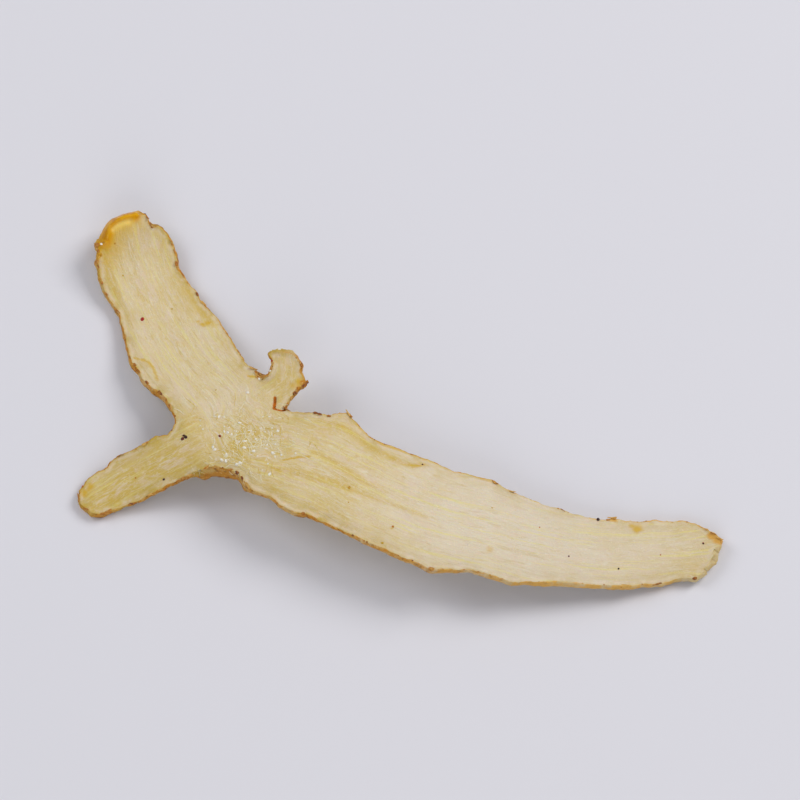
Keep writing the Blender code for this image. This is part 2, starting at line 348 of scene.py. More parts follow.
def rim_loop(mesh):
    """The rim's points in order, and for every point of the sheet the level way out of it, zero inside the rim."""
    corners = fetch(mesh.loops, "vertex_index", kind=np.int32).reshape(-1, 4)
    sides = fetch(mesh.loops, "edge_index", kind=np.int32)
    open_side = (np.bincount(sides, minlength=len(mesh.edges)) == 1)[sides].reshape(-1, 4)
    starts = corners[open_side]
    ends = np.roll(corners, -1, axis=1)[open_side]
    points = read_points(mesh)
    step = points[ends] - points[starts]
    out = np.stack([step[:, 1], -step[:, 0], np.zeros(len(step))], axis=1)
    out /= np.linalg.norm(out, axis=1)[:, None]
    ways = np.zeros_like(points)
    np.add.at(ways, starts, out)
    np.add.at(ways, ends, out)
    following = dict(zip(starts.tolist(), ends.tolist()))
    loop = [int(starts[0])]
    while following[loop[-1]] != loop[0]:
        loop.append(following[loop[-1]])
    rim = np.array(loop)
    ways[rim] /= np.linalg.norm(ways[rim], axis=1)[:, None]
    return rim, ways


def nearest_rim(points, rim, how_many=1):
    """For each point, the numbers of its nearest rim points and their distances, the nearest first."""
    tree = kdtree.KDTree(len(rim))
    for number, index in enumerate(rim):
        tree.insert(points[index], number)
    tree.balance()
    found = [tree.find_n(point, how_many) for point in points]
    numbers = np.array([[number for _, number, _ in group] for group in found])
    return numbers, np.array([[distance for _, _, distance in group] for group in found])


rim, ways_out = rim_loop(sheet)
print("the rim has", len(rim), "points")

# %% The measured outline
OUTLINE = np.array([
    -9.2, -0.8, -9.6, -1.6, -10.5, -2.7, -12.5, -2.6, -13.5, -3.3, -16, -4.4, -18.6, -5.1, -19.9, -6, -20.4, -6.7,
    -21.1, -7.2, -22, -7.5, -23.6, -8.6, -24.1, -9.3, -24.7, -10, -25, -11, -25.1, -12.1, -24.7, -13.1, -23, -14.5,
    -21.9, -14.7, -21, -14.6, -17.9, -13.2, -14.4, -12.2, -10.1, -10.6, -5.8, -9.2, -4.2, -8.8, -3.4, -8.6,
    0.4, -9.7, 1.1, -10.1, 2, -11.7, 2.8, -12.8, 3.2, -13.2, 6, -14.4, 7, -15.2, 7.6, -16, 10.2, -17.5, 11.2, -17.8,
    11.8, -17.7, 16.1, -19.5, 20.8, -22.1, 23.8, -23.4, 26.1, -24.5, 29.9, -25.9, 31.7, -27.1, 38, -26.6,
    45.2, -28.6, 47.1, -28.2, 50.6, -28.3, 51.8, -28.1, 63.4, -27.8, 64.5, -27.7, 66.8, -27.1, 69.2, -26.8,
    72.7, -25.8, 73.9, -26, 74.9, -26.1, 75.8, -25.3, 76.5, -24.8, 76.3, -24.4, 77.2, -23.9, 77.8, -23.1,
    77.6, -22.7, 78.3, -22.2, 78.4, -21.6, 78.2, -21.3, 78.8, -20.6, 79, -19.8, 79.2, -19.2, 78, -18.1, 75, -16.4,
    73.8, -16, 72.7, -15.8, 71.6, -16, 68.1, -15.8, 65.8, -16.2, 64.6, -16.2, 63.2, -16.1, 61.4, -15.7, 60.9, -16,
    60, -16.2, 58.9, -16.2, 54.7, -15.5, 52.9, -14.8, 50.6, -14.4, 44.7, -12.2, 42.4, -10.9, 41.9, -10.4,
    40.1, -10.2, 38, -9.6, 36, -9.3, 33.8, -8.5, 32.6, -7.8, 29.7, -6.8, 28.2, -6.5, 26.8, -5.8, 23.2, -4.7,
    21.9, -4, 19.1, -0.8, 18.5, 0.1, 16.2, -0.2, 15.6, -0.5, 13.2, 0.1, 11.8, 0, 9.1, 0.4, 8.5, 1, 8.6, 1.8, 9, 2.7,
    10.8, 5, 11.8, 5.7, 11, 7.7, 11.2, 8.6, 11, 9, 9.8, 10.7, 9.3, 11, 8.2, 11, 7.7, 11.2, 6.1, 11, 5.7, 10.7,
    6.1, 9.7, 6.2, 8.9, 5.7, 7.6, 5, 7.2, 4.3, 8.2, 2.4, 9.5, 1.6, 10.5, 1.2, 11.7, -2.8, 19.2, -5.4, 22.2,
    -6.3, 24.3, -7.3, 25.2, -9.2, 28.3, -9.5, 30.5, -10.4, 32.7, -11.1, 33.8, -12, 34.7, -12.4, 35, -12.9, 35,
    -13.5, 34.9, -14, 35.3, -14.6, 36.3, -15.6, 36.7, -18, 36.1, -19.5, 35.3, -20.7, 34.2, -21.6, 32.4, -21.9, 31.8,
    -22.3, 32, -22.6, 31.7, -22.7, 31.3, -22.4, 30.4, -22.4, 29.8, -22.7, 28.5, -22.3, 27.7, -22.1, 26.2,
    -21.3, 24.2, -18.7, 20, -16.9, 11.5, -16.6, 10.8, -15.4, 9.1, -14.9, 7.6, -13.2, 5.7, -11.6, 4.5, -9.9, 1.6,
]).reshape(-1, 2)
CORNERS = [0, 12, 23, 29, 53, 65, 102, 120, 135, 143]
EVEN_ROUNDS = 400


def shares_along(line):
    """How far along a line each of its points lies, from 0 to 1."""
    steps = np.linalg.norm(np.diff(line, axis=0), axis=1)
    walked = np.concatenate([[0.0], np.cumsum(steps)])
    return walked / walked[-1]


def evened(values, rounds):
    """The same rising values with steps that are more alike, the first and the last value kept."""
    for _ in range(rounds):
        values[1:-1] = 0.25 * values[:-2] + 0.5 * values[1:-1] + 0.25 * values[2:]
    return values


def laid_on_outline(loop):
    """Where the points of the rim's loop go, so that it runs along the outline with a point on each corner."""
    pins = [int(np.linalg.norm(loop - OUTLINE[corner], axis=1).argmin()) for corner in CORNERS]
    placed = loop.copy()
    for number, (pin, corner) in enumerate(zip(pins, CORNERS)):
        after = (number + 1) % len(pins)
        span = np.arange(pin, pin + (pins[after] - pin) % len(loop) + 1) % len(loop)
        piece = OUTLINE[np.arange(corner, corner + (CORNERS[after] - corner) % len(OUTLINE) + 1) % len(OUTLINE)]
        shares = evened(shares_along(loop[span]), EVEN_ROUNDS)
        for axis in (0, 1):
            placed[span, axis] = np.interp(shares, shares_along(piece), piece[:, axis])
    return placed


print("the outline has", len(OUTLINE), "points and", len(CORNERS), "corners")

# %% Lay the rim on the outline
Wave = namedtuple("Wave", "height length level")
RIM_TEETH = [Wave(0.10, 1.1, 4.7), Wave(0.11, 0.5, 2.9)]
TIP_REACH = 3.5
FOLLOWS = 3.6             # how far inside the rim the flesh still follows it
RELAX_ROUNDS = 90
RELAX_SHARE = 0.6         # how far a point goes to the middle of its neighbours in one round
RIM_NEIGHBOURS = 12       # how many points of the rim each point inside follows


def noise_at(places):
    """Blender's smooth noise, about -1 to 1, at each row of places."""
    return np.array([noise.noise(place) for place in places.tolist()])


def wave_at(wave, points):
    """The height of a wave at points of the plan."""
    level = np.full(len(points), wave.level)
    places = np.stack([points[:, 0] / wave.length, points[:, 1] / wave.length, level], axis=1)
    return wave.height * noise_at(places)


def hill(points, x, y, reach):
    """1 at a place of the plan, falling smoothly to 0 about two reaches away."""
    return np.exp(-((points[:, 0] - x) ** 2 + (points[:, 1] - y) ** 2) / reach ** 2)


def relaxed(mesh, points, rim, rounds):
    """The points, each inside the rim drawn again and again to the middle of its neighbours."""
    ends = fetch(mesh.edges, "vertices", 2, np.int32)
    first, second = ends.T
    neighbours = np.bincount(ends.ravel(), minlength=len(points))
    inside = np.ones(len(points), bool)
    inside[rim] = False
    for _ in range(rounds):
        middles = np.empty_like(points)
        for axis in range(3):
            sums = np.bincount(first, points[second, axis], len(points))
            sums += np.bincount(second, points[first, axis], len(points))
            middles[:, axis] = sums / neighbours
        points[inside] = (1.0 - RELAX_SHARE) * points[inside] + RELAX_SHARE * middles[inside]
    return points


def tip_nearness(points):
    return hill(points, LONG_ARM[1].x, LONG_ARM[1].y, TIP_REACH)


points = read_points(sheet)
numbers, distances = nearest_rim(points, rim, RIM_NEIGHBOURS)
moves = laid_on_outline(points[rim, :2]) - points[rim, :2]
print("the rim moves by up to", round(float(np.linalg.norm(moves, axis=1).max()), 2), "mm")
weights = 1.0 / (distances + 0.02) ** 2
weights /= weights.sum(axis=1)[:, None]
follow = np.clip(1.0 - distances[:, 0] / FOLLOWS, 0.0, 1.0)
points[:, :2] += (moves[numbers] * weights[:, :, None]).sum(axis=1) * follow[:, None]
points = relaxed(sheet, points, rim, RELAX_ROUNDS)
write_points(sheet, points)
_, ways_out = rim_loop(sheet)
teeth = sum(wave_at(wave, points[rim]) for wave in RIM_TEETH) * (1.0 - tip_nearness(points[rim]))
points[rim] += ways_out[rim] * teeth[:, None]
gaps = nearest_rim(points, rim)[1][:, 0]

# %% [markdown]
# ## Dried waves
#
# Drying bends the sheet: long swells run through it, and shorter waves run along the rim, where the flesh is
# thinner and the bark pulls. Both are smooth noise read at the points of the plan.

# %% Wave the sheet
BODY_WAVE = Wave(0.45, 17.0, 1.3)
RIM_WAVE = Wave(0.55, 6.5, 8.1)
RIM_BELT = 3.2

nearness = np.clip(1.0 - gaps / RIM_BELT, 0.0, 1.0)
points[:, 2] += wave_at(BODY_WAVE, points) + wave_at(RIM_WAVE, points) * nearness ** 2
write_points(sheet, points)
print("the sheet stands", round(points[:, 2].min(), 2), "to", round(points[:, 2].max(), 2), "mm high")

# %% [markdown]
# ## Thickness
#
# Solidify builds the second skin and the wall between the two, and the wall's upright edges are cut in four.
# Its own offset leans at the teeth of the rim, so each point keeps its place on the sheet, a smoothed way up
# and a thickness, and both skins are laid from those: thinner at the rim, thick at the growing tip. The rows of
# the wall are pushed out into the round edge of bark. Under the crotch a skirt of bark hangs down, where the
# knife left the skin on.

# %% Solidify, and round the bark
FLESH_THICKNESS = 1.9
RIM_THICKNESS = 1.35
TIP_THICKNESS = 2.9
RIM_BULGE = 0.20
BAND_CUTS = 3
SKIRT_LINE = [(-4.6, -9.0), (-3.2, -9.0), (-2.1, -9.4), (-1.1, -9.7), (0.0, -10.1), (0.8, -10.8), (1.6, -11.8)]
SKIRT_REACH = 1.3
SKIRT_DROP = 2.4
SKIRT_FLARE = 0.6
WAY_ROUNDS = 25

plain = FLESH_THICKNESS + (RIM_THICKNESS - FLESH_THICKNESS) * nearness ** 2
thickness = plain + (TIP_THICKNESS - plain) * tip_nearness(points)
normals = fetch(sheet.vertex_normals, "vector", 3).astype(float)
way_up = relaxed(sheet, normals, np.array([], int), WAY_ROUNDS)
way_up /= np.linalg.norm(way_up, axis=1)[:, None]
for name, values in (("inset", gaps), ("way_out", ways_out), ("way_up", way_up), ("middle", points),
                     ("thickness", thickness)):
    add_values(sheet, name, values)
half = len(sheet.vertices)
apply_modifier(slice_piece, "SOLIDIFY", thickness=FLESH_THICKNESS, offset=0.0)
body = slice_piece.data
heights = read_points(body)[:, 2]
upper = np.ones(len(body.vertices))
upper[half:] = -1.0
if heights[:half].mean() < heights[half:].mean():
    upper = -upper
add_values(body, "upper", upper)

for face in body.polygons:
    face.select = False
for vert in body.vertices:
    vert.select = False
for edge in body.edges:
    edge.select = abs(edge.vertices[0] - edge.vertices[1]) == half
bpy.ops.object.mode_set(mode="EDIT")
bpy.ops.mesh.select_mode(type="EDGE")
bpy.ops.mesh.subdivide(number_cuts=BAND_CUTS)
bpy.ops.object.mode_set(mode="OBJECT")

# %% Lay the two skins and the wall
def along_line(points, line, runs_back=False):
    """How far along a line of the plan each point lies, how far to its side, and how far from it."""
    line = np.asarray(line, float)
    best = np.full(len(points), np.inf)
    far, aside = np.zeros((2, len(points)))
    walked = 0.0
    for start, end in zip(line[:-1], line[1:]):
        length = np.linalg.norm(end - start)
        way = (end - start) / length
        reach = (points[:, :2] - start) @ way
        held = np.clip(reach, -np.inf if runs_back and walked == 0.0 else 0.0, length)
        rest = points[:, :2] - start - held[:, None] * way
        gap = np.linalg.norm(rest, axis=1)
        nearer = gap < best
        far = np.where(nearer, walked + held, far)
        aside = np.where(nearer, gap * np.sign(rest @ np.array([-way[1], way[0]])), aside)
        best = np.minimum(best, gap)
        walked += length
    return far, aside, best


def near_line(points, line, width):
    """1 on a line of the plan, falling smoothly to 0 beside it and past its ends."""
    return np.exp(-(along_line(points, line)[2] / width) ** 2)


upper = read_values(body, "upper")
ways_out = read_values(body, "way_out")
way_up = read_values(body, "way_up")
points = read_values(body, "middle") + way_up * (0.5 * upper * read_values(body, "thickness"))[:, None]
roundness = 1.0 - upper ** 2
points += ways_out * (RIM_BULGE * roundness)[:, None]
skirt = near_line(points, SKIRT_LINE, SKIRT_REACH) * (0.5 - 0.5 * upper)
points[:, 2] -= SKIRT_DROP * skirt
points += ways_out * (SKIRT_FLARE * skirt)[:, None]
normals = way_up * upper[:, None] + ways_out * np.sqrt(roundness)[:, None]
normals /= np.linalg.norm(normals, axis=1)[:, None]
write_points(body, points)
print("solid:", len(body.vertices), "points,", len(body.polygons), "faces")

# %% [markdown]
# ## Fibre coordinates
#
# The fibre runs lengthwise in each arm. For the long arm the numbers kept since the cage say how far along and
# how far to the side a point lies. For the branches a straight middle line is enough: it starts inside the
# elbow, because the branch's fibre does too, and a weight says where the branch's fibre takes over. From here
# on the slice lies in the part's own frame, still in millimetres.

# %% Coordinates that follow the fibre
TOWARDS_FACES = 10.0      # keeps the noise of the two faces apart


def smooth_step(values, low, high):
    share = np.clip((values - low) / (high - low), 0.0, 1.0)
    return share * share * (3.0 - 2.0 * share)


def in_part_frame(start, cuts):
    """A line of the plan through the points of start and the middles of the cuts, in the part's own frame."""
    return [(x - MIDDLE.x, y - MIDDLE.y) for x, y in start + [(cut.x, cut.y) for cut in cuts]]


WIDTH_BLUR = 2.5
SIDE_ARM_PALENESS = 0.10
STUB_PALENESS = 0.42
TANGLE = (-25.0, -7.0, 8.5)    # where the fibres of the three arms run into each other
TANGLE_LEAST = 0.12            # how much the fibre wanders elsewhere
TANGLE_SIZE = 2.6
SWAY_ACROSS = 1.5
SWAY_ALONG = 2.4
ROOT_FADES = (-3.5, 1.5)       # where a branch's fibre takes over, from the edge of the long arm
SIDE_FADE = 2.5
SIDE_HOLD = 5.5                # how far to the side a branch's fibre holds
STUB_HOLD = 4.2
SAMPLE_STEP = 0.5
BLUR_SAMPLES = 12

samples = np.arange(0.0, long_distances[-1], SAMPLE_STEP)
widths = np.interp(samples, long_distances, [cut.width for cut in LONG_ARM])
bell = np.exp(-(np.arange(-BLUR_SAMPLES, BLUR_SAMPLES + 1) * SAMPLE_STEP / WIDTH_BLUR) ** 2)
widths = np.convolve(np.pad(widths, BLUR_SAMPLES, mode="edge"), bell / bell.sum(), mode="valid")

points -= np.array(MIDDLE)
along = read_values(body, "along")
across = read_values(body, "side") * np.interp(along, samples, widths)
tangle = np.maximum(hill(points, *TANGLE), TANGLE_LEAST)
across += SWAY_ACROSS * tangle * noise_at(points / TANGLE_SIZE)
along += SWAY_ALONG * tangle * noise_at(points / TANGLE_SIZE + 9.0)
grain = np.stack([along, across, upper * TOWARDS_FACES], axis=1)
SIDE_LINE = in_part_frame([(2.0, -2.5), (-5.3, -5.0)], SIDE_ARM)
STUB_LINE = in_part_frame([(3.0, 1.5), (6.0, 4.3)], SHOOT_STUB)
branch_grain = grain.copy()
branch = np.zeros(len(points))
branch_pale = np.zeros(len(points))
for line, hold, paleness in ((SIDE_LINE, SIDE_HOLD, SIDE_ARM_PALENESS), (STUB_LINE, STUB_HOLD, STUB_PALENESS)):
    root_distance = math.dist(line[0], line[1])
    far, aside, _ = along_line(points, line, True)
    weight = smooth_step(far - root_distance, *ROOT_FADES)
    weight *= 1.0 - smooth_step(np.abs(aside), hold, hold + SIDE_FADE)
    branch_grain[:, 0] = np.where(weight > branch, far, branch_grain[:, 0])
    branch_grain[:, 1] = np.where(weight > branch, aside, branch_grain[:, 1])
    branch_pale = np.where(weight > branch, paleness, branch_pale)
    branch = np.maximum(branch, weight)
add_values(body, "grain", grain)
add_values(body, "branch_grain", branch_grain)
add_values(body, "branch", branch)
print("points whose fibre is a branch's:", int((branch > 0.5).sum()))

# %% [markdown]
# ## Where the flesh is special
#
# A few places differ from plain flesh: the knot in the elbow where the fibres of three arms tangle, the amber
# lip round the growing tip with a crescent hollow inside it that gets a pale painted highlight, long yellow
# streaks, stains and brown hairs, patches of bark, two ends that lost theirs, and short cracks at the stub's foot.
# Each is a soft mask kept on the points, so that both the relief and the colours can use it. The edges of stains
# and of bark are made ragged by moving the points a little before the mask is read.

# %% Masks for the knot, the tip, the streaks, the stains and the cracks
KNOT = (-25.3, -8.6, 5.6)
AMBER_ARC = [(-48.1, 27.9), (-47.9, 28.7), (-47.6, 29.5), (-47.2, 30.2), (-46.7, 30.8), (-46.1, 31.3), (-45.4, 31.7),
             (-44.7, 31.9), (-44.0, 32.0), (-43.5, 32.0)]
ARC_WIDTH = 1.25
GLOW_WIDTH = 2.9
GLOW_FADES = (-44.5, -40.5)
# the crescent is a real hollow; its pale colour further down is a painted highlight
CRESCENT_WIDTH = 0.42
CRESCENT = [(-46.8, 29.4), (-46.2, 29.9), (-45.5, 30.3), (-44.8, 30.6), (-44.2, 30.8)]

# lines of the plan, each with its width and its amount
YELLOW_STREAKS = [
    ([(-21.6, -13.4), (-19.8, -13.8), (-17.9, -14.2), (-15.3, -14.9), (-12.7, -15.7), (-10.1, -16.6),
      (-8.1, -17.3)], 0.80, 1.0),
    ([(-8.1, -17.3), (-6.0, -18.3), (-3.1, -19.2), (-0.3, -20.1), (2.9, -21.3), (4.2, -21.8)], 0.36, 0.7),
    ([(-14.3, -11.1), (-11.7, -12.3), (-9.6, -13.7), (-7.0, -15.4), (-4.9, -16.5), (-2.9, -17.6)], 0.60, 0.65),
    ([(-11.2, -5.9), (-9.6, -6.4), (-8.1, -7.2), (-6.0, -8.8), (-4.4, -9.9), (-2.3, -11.0), (0.0, -12.1),
      (2.1, -12.6), (3.9, -12.1), (5.2, -11.6)], 0.55, 1.0),
    ([(-21.8, -16.0), (-20.0, -17.3)], 0.35, 0.7),
    ([(-21.5, -12.0), (-19.5, -11.2), (-17.5, -10.6)], 0.6, 0.5),
    ([(-47.9, 24.6), (-47.6, 22.0), (-46.6, 19.4)], 0.9, 0.7),
    ([(-36.4, 27.6), (-35.8, 23.6), (-33.6, 18.8), (-30.6, 14.4)], 0.9, 0.7),
    ([(-16.6, -20.8), (-12.7, -22.2), (-8.8, -23.8)], 0.3, 0.4),
]
BROWN_HAIRS = [
    ([(-18.9, -12.2), (-17.9, -12.0), (-16.4, -11.8), (-14.6, -11.8)], 0.24, 0.8),
    ([(1.2, -12.5), (2.6, -12.6), (3.9, -12.2)], 0.20, 0.6),
    ([(-7.0, -5.7), (-4.9, -7.6), (-2.9, -9.0), (0.3, -9.9), (5.3, -11.3), (8.8, -12.6), (15.0, -14.5)], 0.34, 0.65),
    ([(-43.4, 8.1), (-41.9, 7.6), (-40.9, 7.1), (-40.2, 5.9), (-39.7, 4.6), (-39.3, 3.4)], 0.24, 0.7),
    ([(-24.7, 3.6), (-23.4, 3.4), (-22.4, 4.0)], 0.24, 0.8),
]
# places of the plan, each with its reach and its amount
STAINS = [
    (14.6, -27.0, 0.75, 0.5), (38.5, -21.4, 0.9, 0.9), (37.6, -20.7, 0.7, 0.7), (34.6, -19.8, 0.6, 0.9),
    (-32.2, 14.0, 0.6, 0.9), (-31.4, 14.2, 0.5, 0.9), (-32.9, 14.5, 0.4, 0.7), (6.2, -14.1, 0.7, 0.3),
    (-50.3, -14.0, 0.8, 0.8), (-51.2, -14.9, 0.7, 0.9), (51.6, -22.7, 1.0, 1.0), (50.6, -22.2, 0.7, 0.7),
    (-1.3, -23.8, 0.3, 0.8), (-22.7, 3.9, 0.5, 0.8), (-41.9, 7.6, 0.35, 0.9), (-40.9, 7.2, 0.3, 0.7),
    (-40.3, 6.2, 0.35, 0.8), (-39.8, 5.1, 0.3, 0.7), (-39.6, 4.2, 0.35, 0.6), (-17.3, 1.3, 0.8, 0.6),
    (-16.3, 1.9, 0.9, 0.8),
]
BARK_PATCHES = [
    (-49.7, 27.9, 0.9, 1.0), (-49.4, 26.8, 0.8, 1.0), (-49.4, 25.6, 0.6, 1.0), (-15.4, 1.7, 0.7, 1.0),
    (-16.4, 0.7, 0.6, 0.9), (-17.1, -0.4, 0.4, 0.9), (51.7, -22.9, 1.1, 1.0), (50.6, -22.3, 0.8, 0.9),
    (34.6, -19.6, 0.7, 1.0), (-51.9, -13.2, 0.7, 0.9), (-22.9, 3.6, 0.5, 0.8),
]
# stretches of rim that lost their bark, each with its width and its amount
BARE_ENDS = [
    ([(51.2, -24.4), (49.7, -26.4), (46.9, -30.3)], 1.5, 1.0),
    ([(-21.5, 7.6), (-19.5, 7.6), (-17.2, 7.4)], 0.9, 0.8),
]
CRACKS = [
    ([(-20.3, -0.7), (-20.3, -1.6), (-20.45, -2.7)], 0.28, 1.0),
    ([(-20.45, -2.8), (-19.5, -3.05), (-18.7, -3.0)], 0.2, 0.8),
    ([(-18.7, -2.9), (-18.2, -1.8), (-17.7, -1.05), (-17.1, -0.4)], 0.22, 0.9),
]
RAGGED_SIZE = 0.8
RAGGED_DEPTH = 0.35
HAIR_RAGGED = 0.3              # how ragged a brown hair is, next to a stain
PATCH_RAGGED = 1.3
BARE_STRENGTH = 1.7


def lines_mask(lines, points):
    """The strongest of several lines' masks; each line has a width and an amount."""
    return np.max([amount * near_line(points, line, width) for line, width, amount in lines], axis=0)


def spots_mask(spots, points):
    """The strongest of several spots' masks; each spot has a place, a reach and an amount."""
    return np.max([amount * hill(points, x, y, reach) for x, y, reach, amount in spots], axis=0)


top = upper > 0.5
knot = hill(points, *KNOT)
arc = near_line(points, AMBER_ARC, ARC_WIDTH)
glow = near_line(points, AMBER_ARC, GLOW_WIDTH) * (1.0 - smooth_step(points[:, 0], *GLOW_FADES))
crescent = near_line(points, CRESCENT, CRESCENT_WIDTH)
ragged = [noise_at(points / RAGGED_SIZE), noise_at(points / RAGGED_SIZE + 5.0), np.zeros(len(points))]
ragged = RAGGED_DEPTH * np.stack(ragged, axis=1)
hairs = lines_mask(BROWN_HAIRS, points + HAIR_RAGGED * ragged)
stain = np.maximum(spots_mask(STAINS, points + ragged), hairs) * top
streak = lines_mask(YELLOW_STREAKS, points) * top
crack = lines_mask(CRACKS, points) * top
bare = np.max([amount * np.clip(BARE_STRENGTH * near_line(points, line, width), 0.0, 1.0)
               for line, width, amount in BARE_ENDS], axis=0)
skirt = np.maximum(skirt, spots_mask(BARK_PATCHES, points + PATCH_RAGGED * ragged))
print("points in the knot:", int((knot > 0.5).sum()), "in the amber lip:", int((arc > 0.5).sum()))

# %% [markdown]
# ## Relief
#
# The faces are not smooth: the fibre dried into lengthwise ridges, the knot is rough, the bark stands up as a
# thin lip and the flesh has sunk a little just inside it. The amber lip is swollen, with a hollow behind it.
# All of these are heights along the surface's normal. What reaches the surface that the slice lies on is
# pressed flat there.

# %% Raise the ridges
WANDER_LENGTH = 14.0
WANDER_WIDTH = 6.0
WANDER_TURNS = 0.76
OLD_RIDGES = [(0.020, 3.1), (0.014, 2.2)]      # their heights and their spacings
FINE_RIDGES = [Wave(0.026, 1.25, 3.3), Wave(0.022, 0.75, 9.6)]
RIDGE_LENGTH = 9.0
PRESSED_BELOW = 0.15
DRIED_SKIN = [Wave(0.07, 3.4, 2.0), Wave(0.035, 1.5, 4.0)]
KNOT_LUMPS = [Wave(0.14, 1.15, 0.0), Wave(0.084, 0.6, 7.0)]
BARK_BUMPS = [Wave(0.13, 0.9, 11.0), Wave(0.07, 0.45, 5.0)]
LIP_WAVE = Wave(0.10, 1.3, 3.0)
LIP_HEIGHT = 0.09
LIP_WIDTH = 0.25
GROOVE_DEPTH = 0.07
GROOVE_PLACE = 0.8             # how far inside the rim its middle lies
GROOVE_WIDTH = 0.4
AMBER_SWELLS = 0.34
AMBER_HOLLOW = 0.30
CRACK_DEPTH = 0.45
KNOT_SMOOTHS = 0.6             # the share of the ridges that the knot takes away


def stretched_noise(grain, length, width, level):
    places = np.stack([grain[:, 0] / length, grain[:, 1] / width, grain[:, 2] + level], axis=1)
    return noise_at(places)


def bumpiness(points, waves):
    """The height of several noises together, read at points of the slice."""
    return sum(wave.height * noise_at(points / wave.length + wave.level) for wave in waves)


def fibre_relief(grain):
    """The height of the fibre's ridges at points with these fibre coordinates."""
    face = grain[:, 2] / TOWARDS_FACES
    places = np.stack([grain[:, 0] / WANDER_LENGTH, grain[:, 1] / WANDER_WIDTH, face], axis=1)
    wander = WANDER_TURNS * noise_at(places)
    height = np.zeros(len(grain))
    for size, spacing in OLD_RIDGES:
        turns = grain[:, 1] / spacing + wander
        height += size * np.sin(2.0 * math.pi * turns + face)
    for ridge in FINE_RIDGES:
        height += ridge.height * stretched_noise(grain, RIDGE_LENGTH, ridge.length, ridge.level)
    return height


inset = read_values(body, "inset")
facing = np.abs(normals[:, 2])
relief = fibre_relief(grain) * (1.0 - branch) + fibre_relief(branch_grain) * branch
relief *= 1.0 - KNOT_SMOOTHS * knot
relief = facing * (relief + bumpiness(points, DRIED_SKIN) + knot * bumpiness(points, KNOT_LUMPS))
on_face = np.abs(upper) > 0.99
lip = np.exp(-(inset / LIP_WIDTH) ** 2) * (LIP_HEIGHT + bumpiness(points, [LIP_WAVE]))
relief += lip * on_face * (1.0 - arc) * (1.0 - bare)
relief -= GROOVE_DEPTH * np.exp(-((inset - GROOVE_PLACE) / GROOVE_WIDTH) ** 2) * on_face
relief += top * (AMBER_SWELLS * arc - AMBER_HOLLOW * crescent) - CRACK_DEPTH * crack
relief += bumpiness(points, BARK_BUMPS) * ~on_face * (1.0 - arc)
points += normals * relief[:, None]
points[:, 2] = np.where(points[:, 2] < PRESSED_BELOW, 0.0, points[:, 2])
write_points(body, points)
print("relief from", round(relief.min(), 2), "to", round(relief.max(), 2), "mm")

# %% [markdown]
# ## How pale the flesh is
#
# The far half of the long arm is the palest, almost white. The elbow and the near half are cream, and the side
# arm is straw yellow. This is a table of paleness along the long arm, with the branches' values mixed in by their
# weight. A second table gives the weight of a painted shade that turns the far half a little greyer; the same
# weight turns the bark there tan and weakens the painted glow along its rim. The masks and these tones go on to
# the points, and the mesh is made metres.

# %% Keep the tone and the masks on the points
PALENESS_ALONG = [(0.0, 0.52), (6.0, 0.50), (14.0, 0.52), (26.0, 0.58), (36.0, 0.68), (44.0, 0.62), (54.0, 0.48),
                  (64.0, 0.50), (72.0, 0.76), (82.0, 1.0), (94.0, 1.0), (104.0, 0.84), (114.0, 0.60), (127.0, 0.24)]
# painted shade: the weight of the grey shade painted on the far half of the long arm, which also tans the bark there
SHADE_AND_TAN_ALONG = [(0.0, 0.0), (64.0, 0.0), (84.0, 0.5), (100.0, 0.9), (112.0, 0.9), (127.0, 0.6)]

along, pale = zip(*PALENESS_ALONG)
tone = np.interp(grain[:, 0], along, pale)
tone = tone * (1.0 - branch) + branch_pale * branch
along, far_shade_and_tan = zip(*SHADE_AND_TAN_ALONG)
far_shade_and_tan = np.interp(grain[:, 0], along, far_shade_and_tan) * (1.0 - branch)
for name, values in {"tone": tone, "far_shade_and_tan": far_shade_and_tan, "knot": knot, "amber": arc, "glow": glow, "streak": streak,
                     "stain": stain, "crack": crack, "bare": bare, "crescent": crescent, "skirt": skirt}.items():
    add_values(body, name, values)
write_points(body, points * MM)
body.shade_smooth()
for name in ("along", "side", "way_out", "way_up", "middle", "thickness"):
    body.attributes.remove(body.attributes[name])
print("slice in mm:", points.min(axis=0).round(2), points.max(axis=0).round(2))

# %% [markdown]
# ## Node helpers
#
# A material is a board of nodes joined by links. work_on says which board is meant. Each of the other helpers
# adds one kind of node to it and returns the result, so that a formula reads as calls inside calls. Colours are
# written as the screen shows them, 0 to 255, and turned into the linear values that Blender computes with.

# %% Helpers for nodes
def shown(red, green, blue):
    """A colour as the screen shows it, as Blender's linear colour."""
    linear = []
    for value in (red, green, blue):
        share = value / 255.0
        linear.append(share / 12.92 if share <= 0.04045 else ((share + 0.055) / 1.055) ** 2.4)
    return (*linear, 1.0)


def work_on(tree):
    """Make this node tree the board that the helpers below add their nodes to."""
    global board
    board = tree


def feed(socket, value):
    """Set a socket to a number or colour, or link it to another socket."""
    if isinstance(value, bpy.types.NodeSocket):
        board.links.new(value, socket)
    else:
        socket.default_value = value


def add_node(kind, inputs=None, **settings):
    """Add a node, set its options and its inputs, and give it a place on the board."""
    node = board.nodes.new("ShaderNode" + kind)
    number = len(board.nodes)
    node.location = (240 * (number % 7), -340 * (number // 7))
    for name, value in settings.items():
        setattr(node, name, value)
    for name, value in (inputs or {}).items():
        feed(node.inputs[name], value)
    return node


def maths(operation, *values, clamp=False):
    return add_node("Math", dict(enumerate(values)), operation=operation, use_clamp=clamp).outputs[0]


def times(first, second):
    return maths("MULTIPLY", first, second)


def scaled(value, factor, shift):
    """The value times a factor, plus a shift."""
    return maths("MULTIPLY_ADD", value, factor, shift)


def rest_of(value):
    return maths("SUBTRACT", 1.0, value)


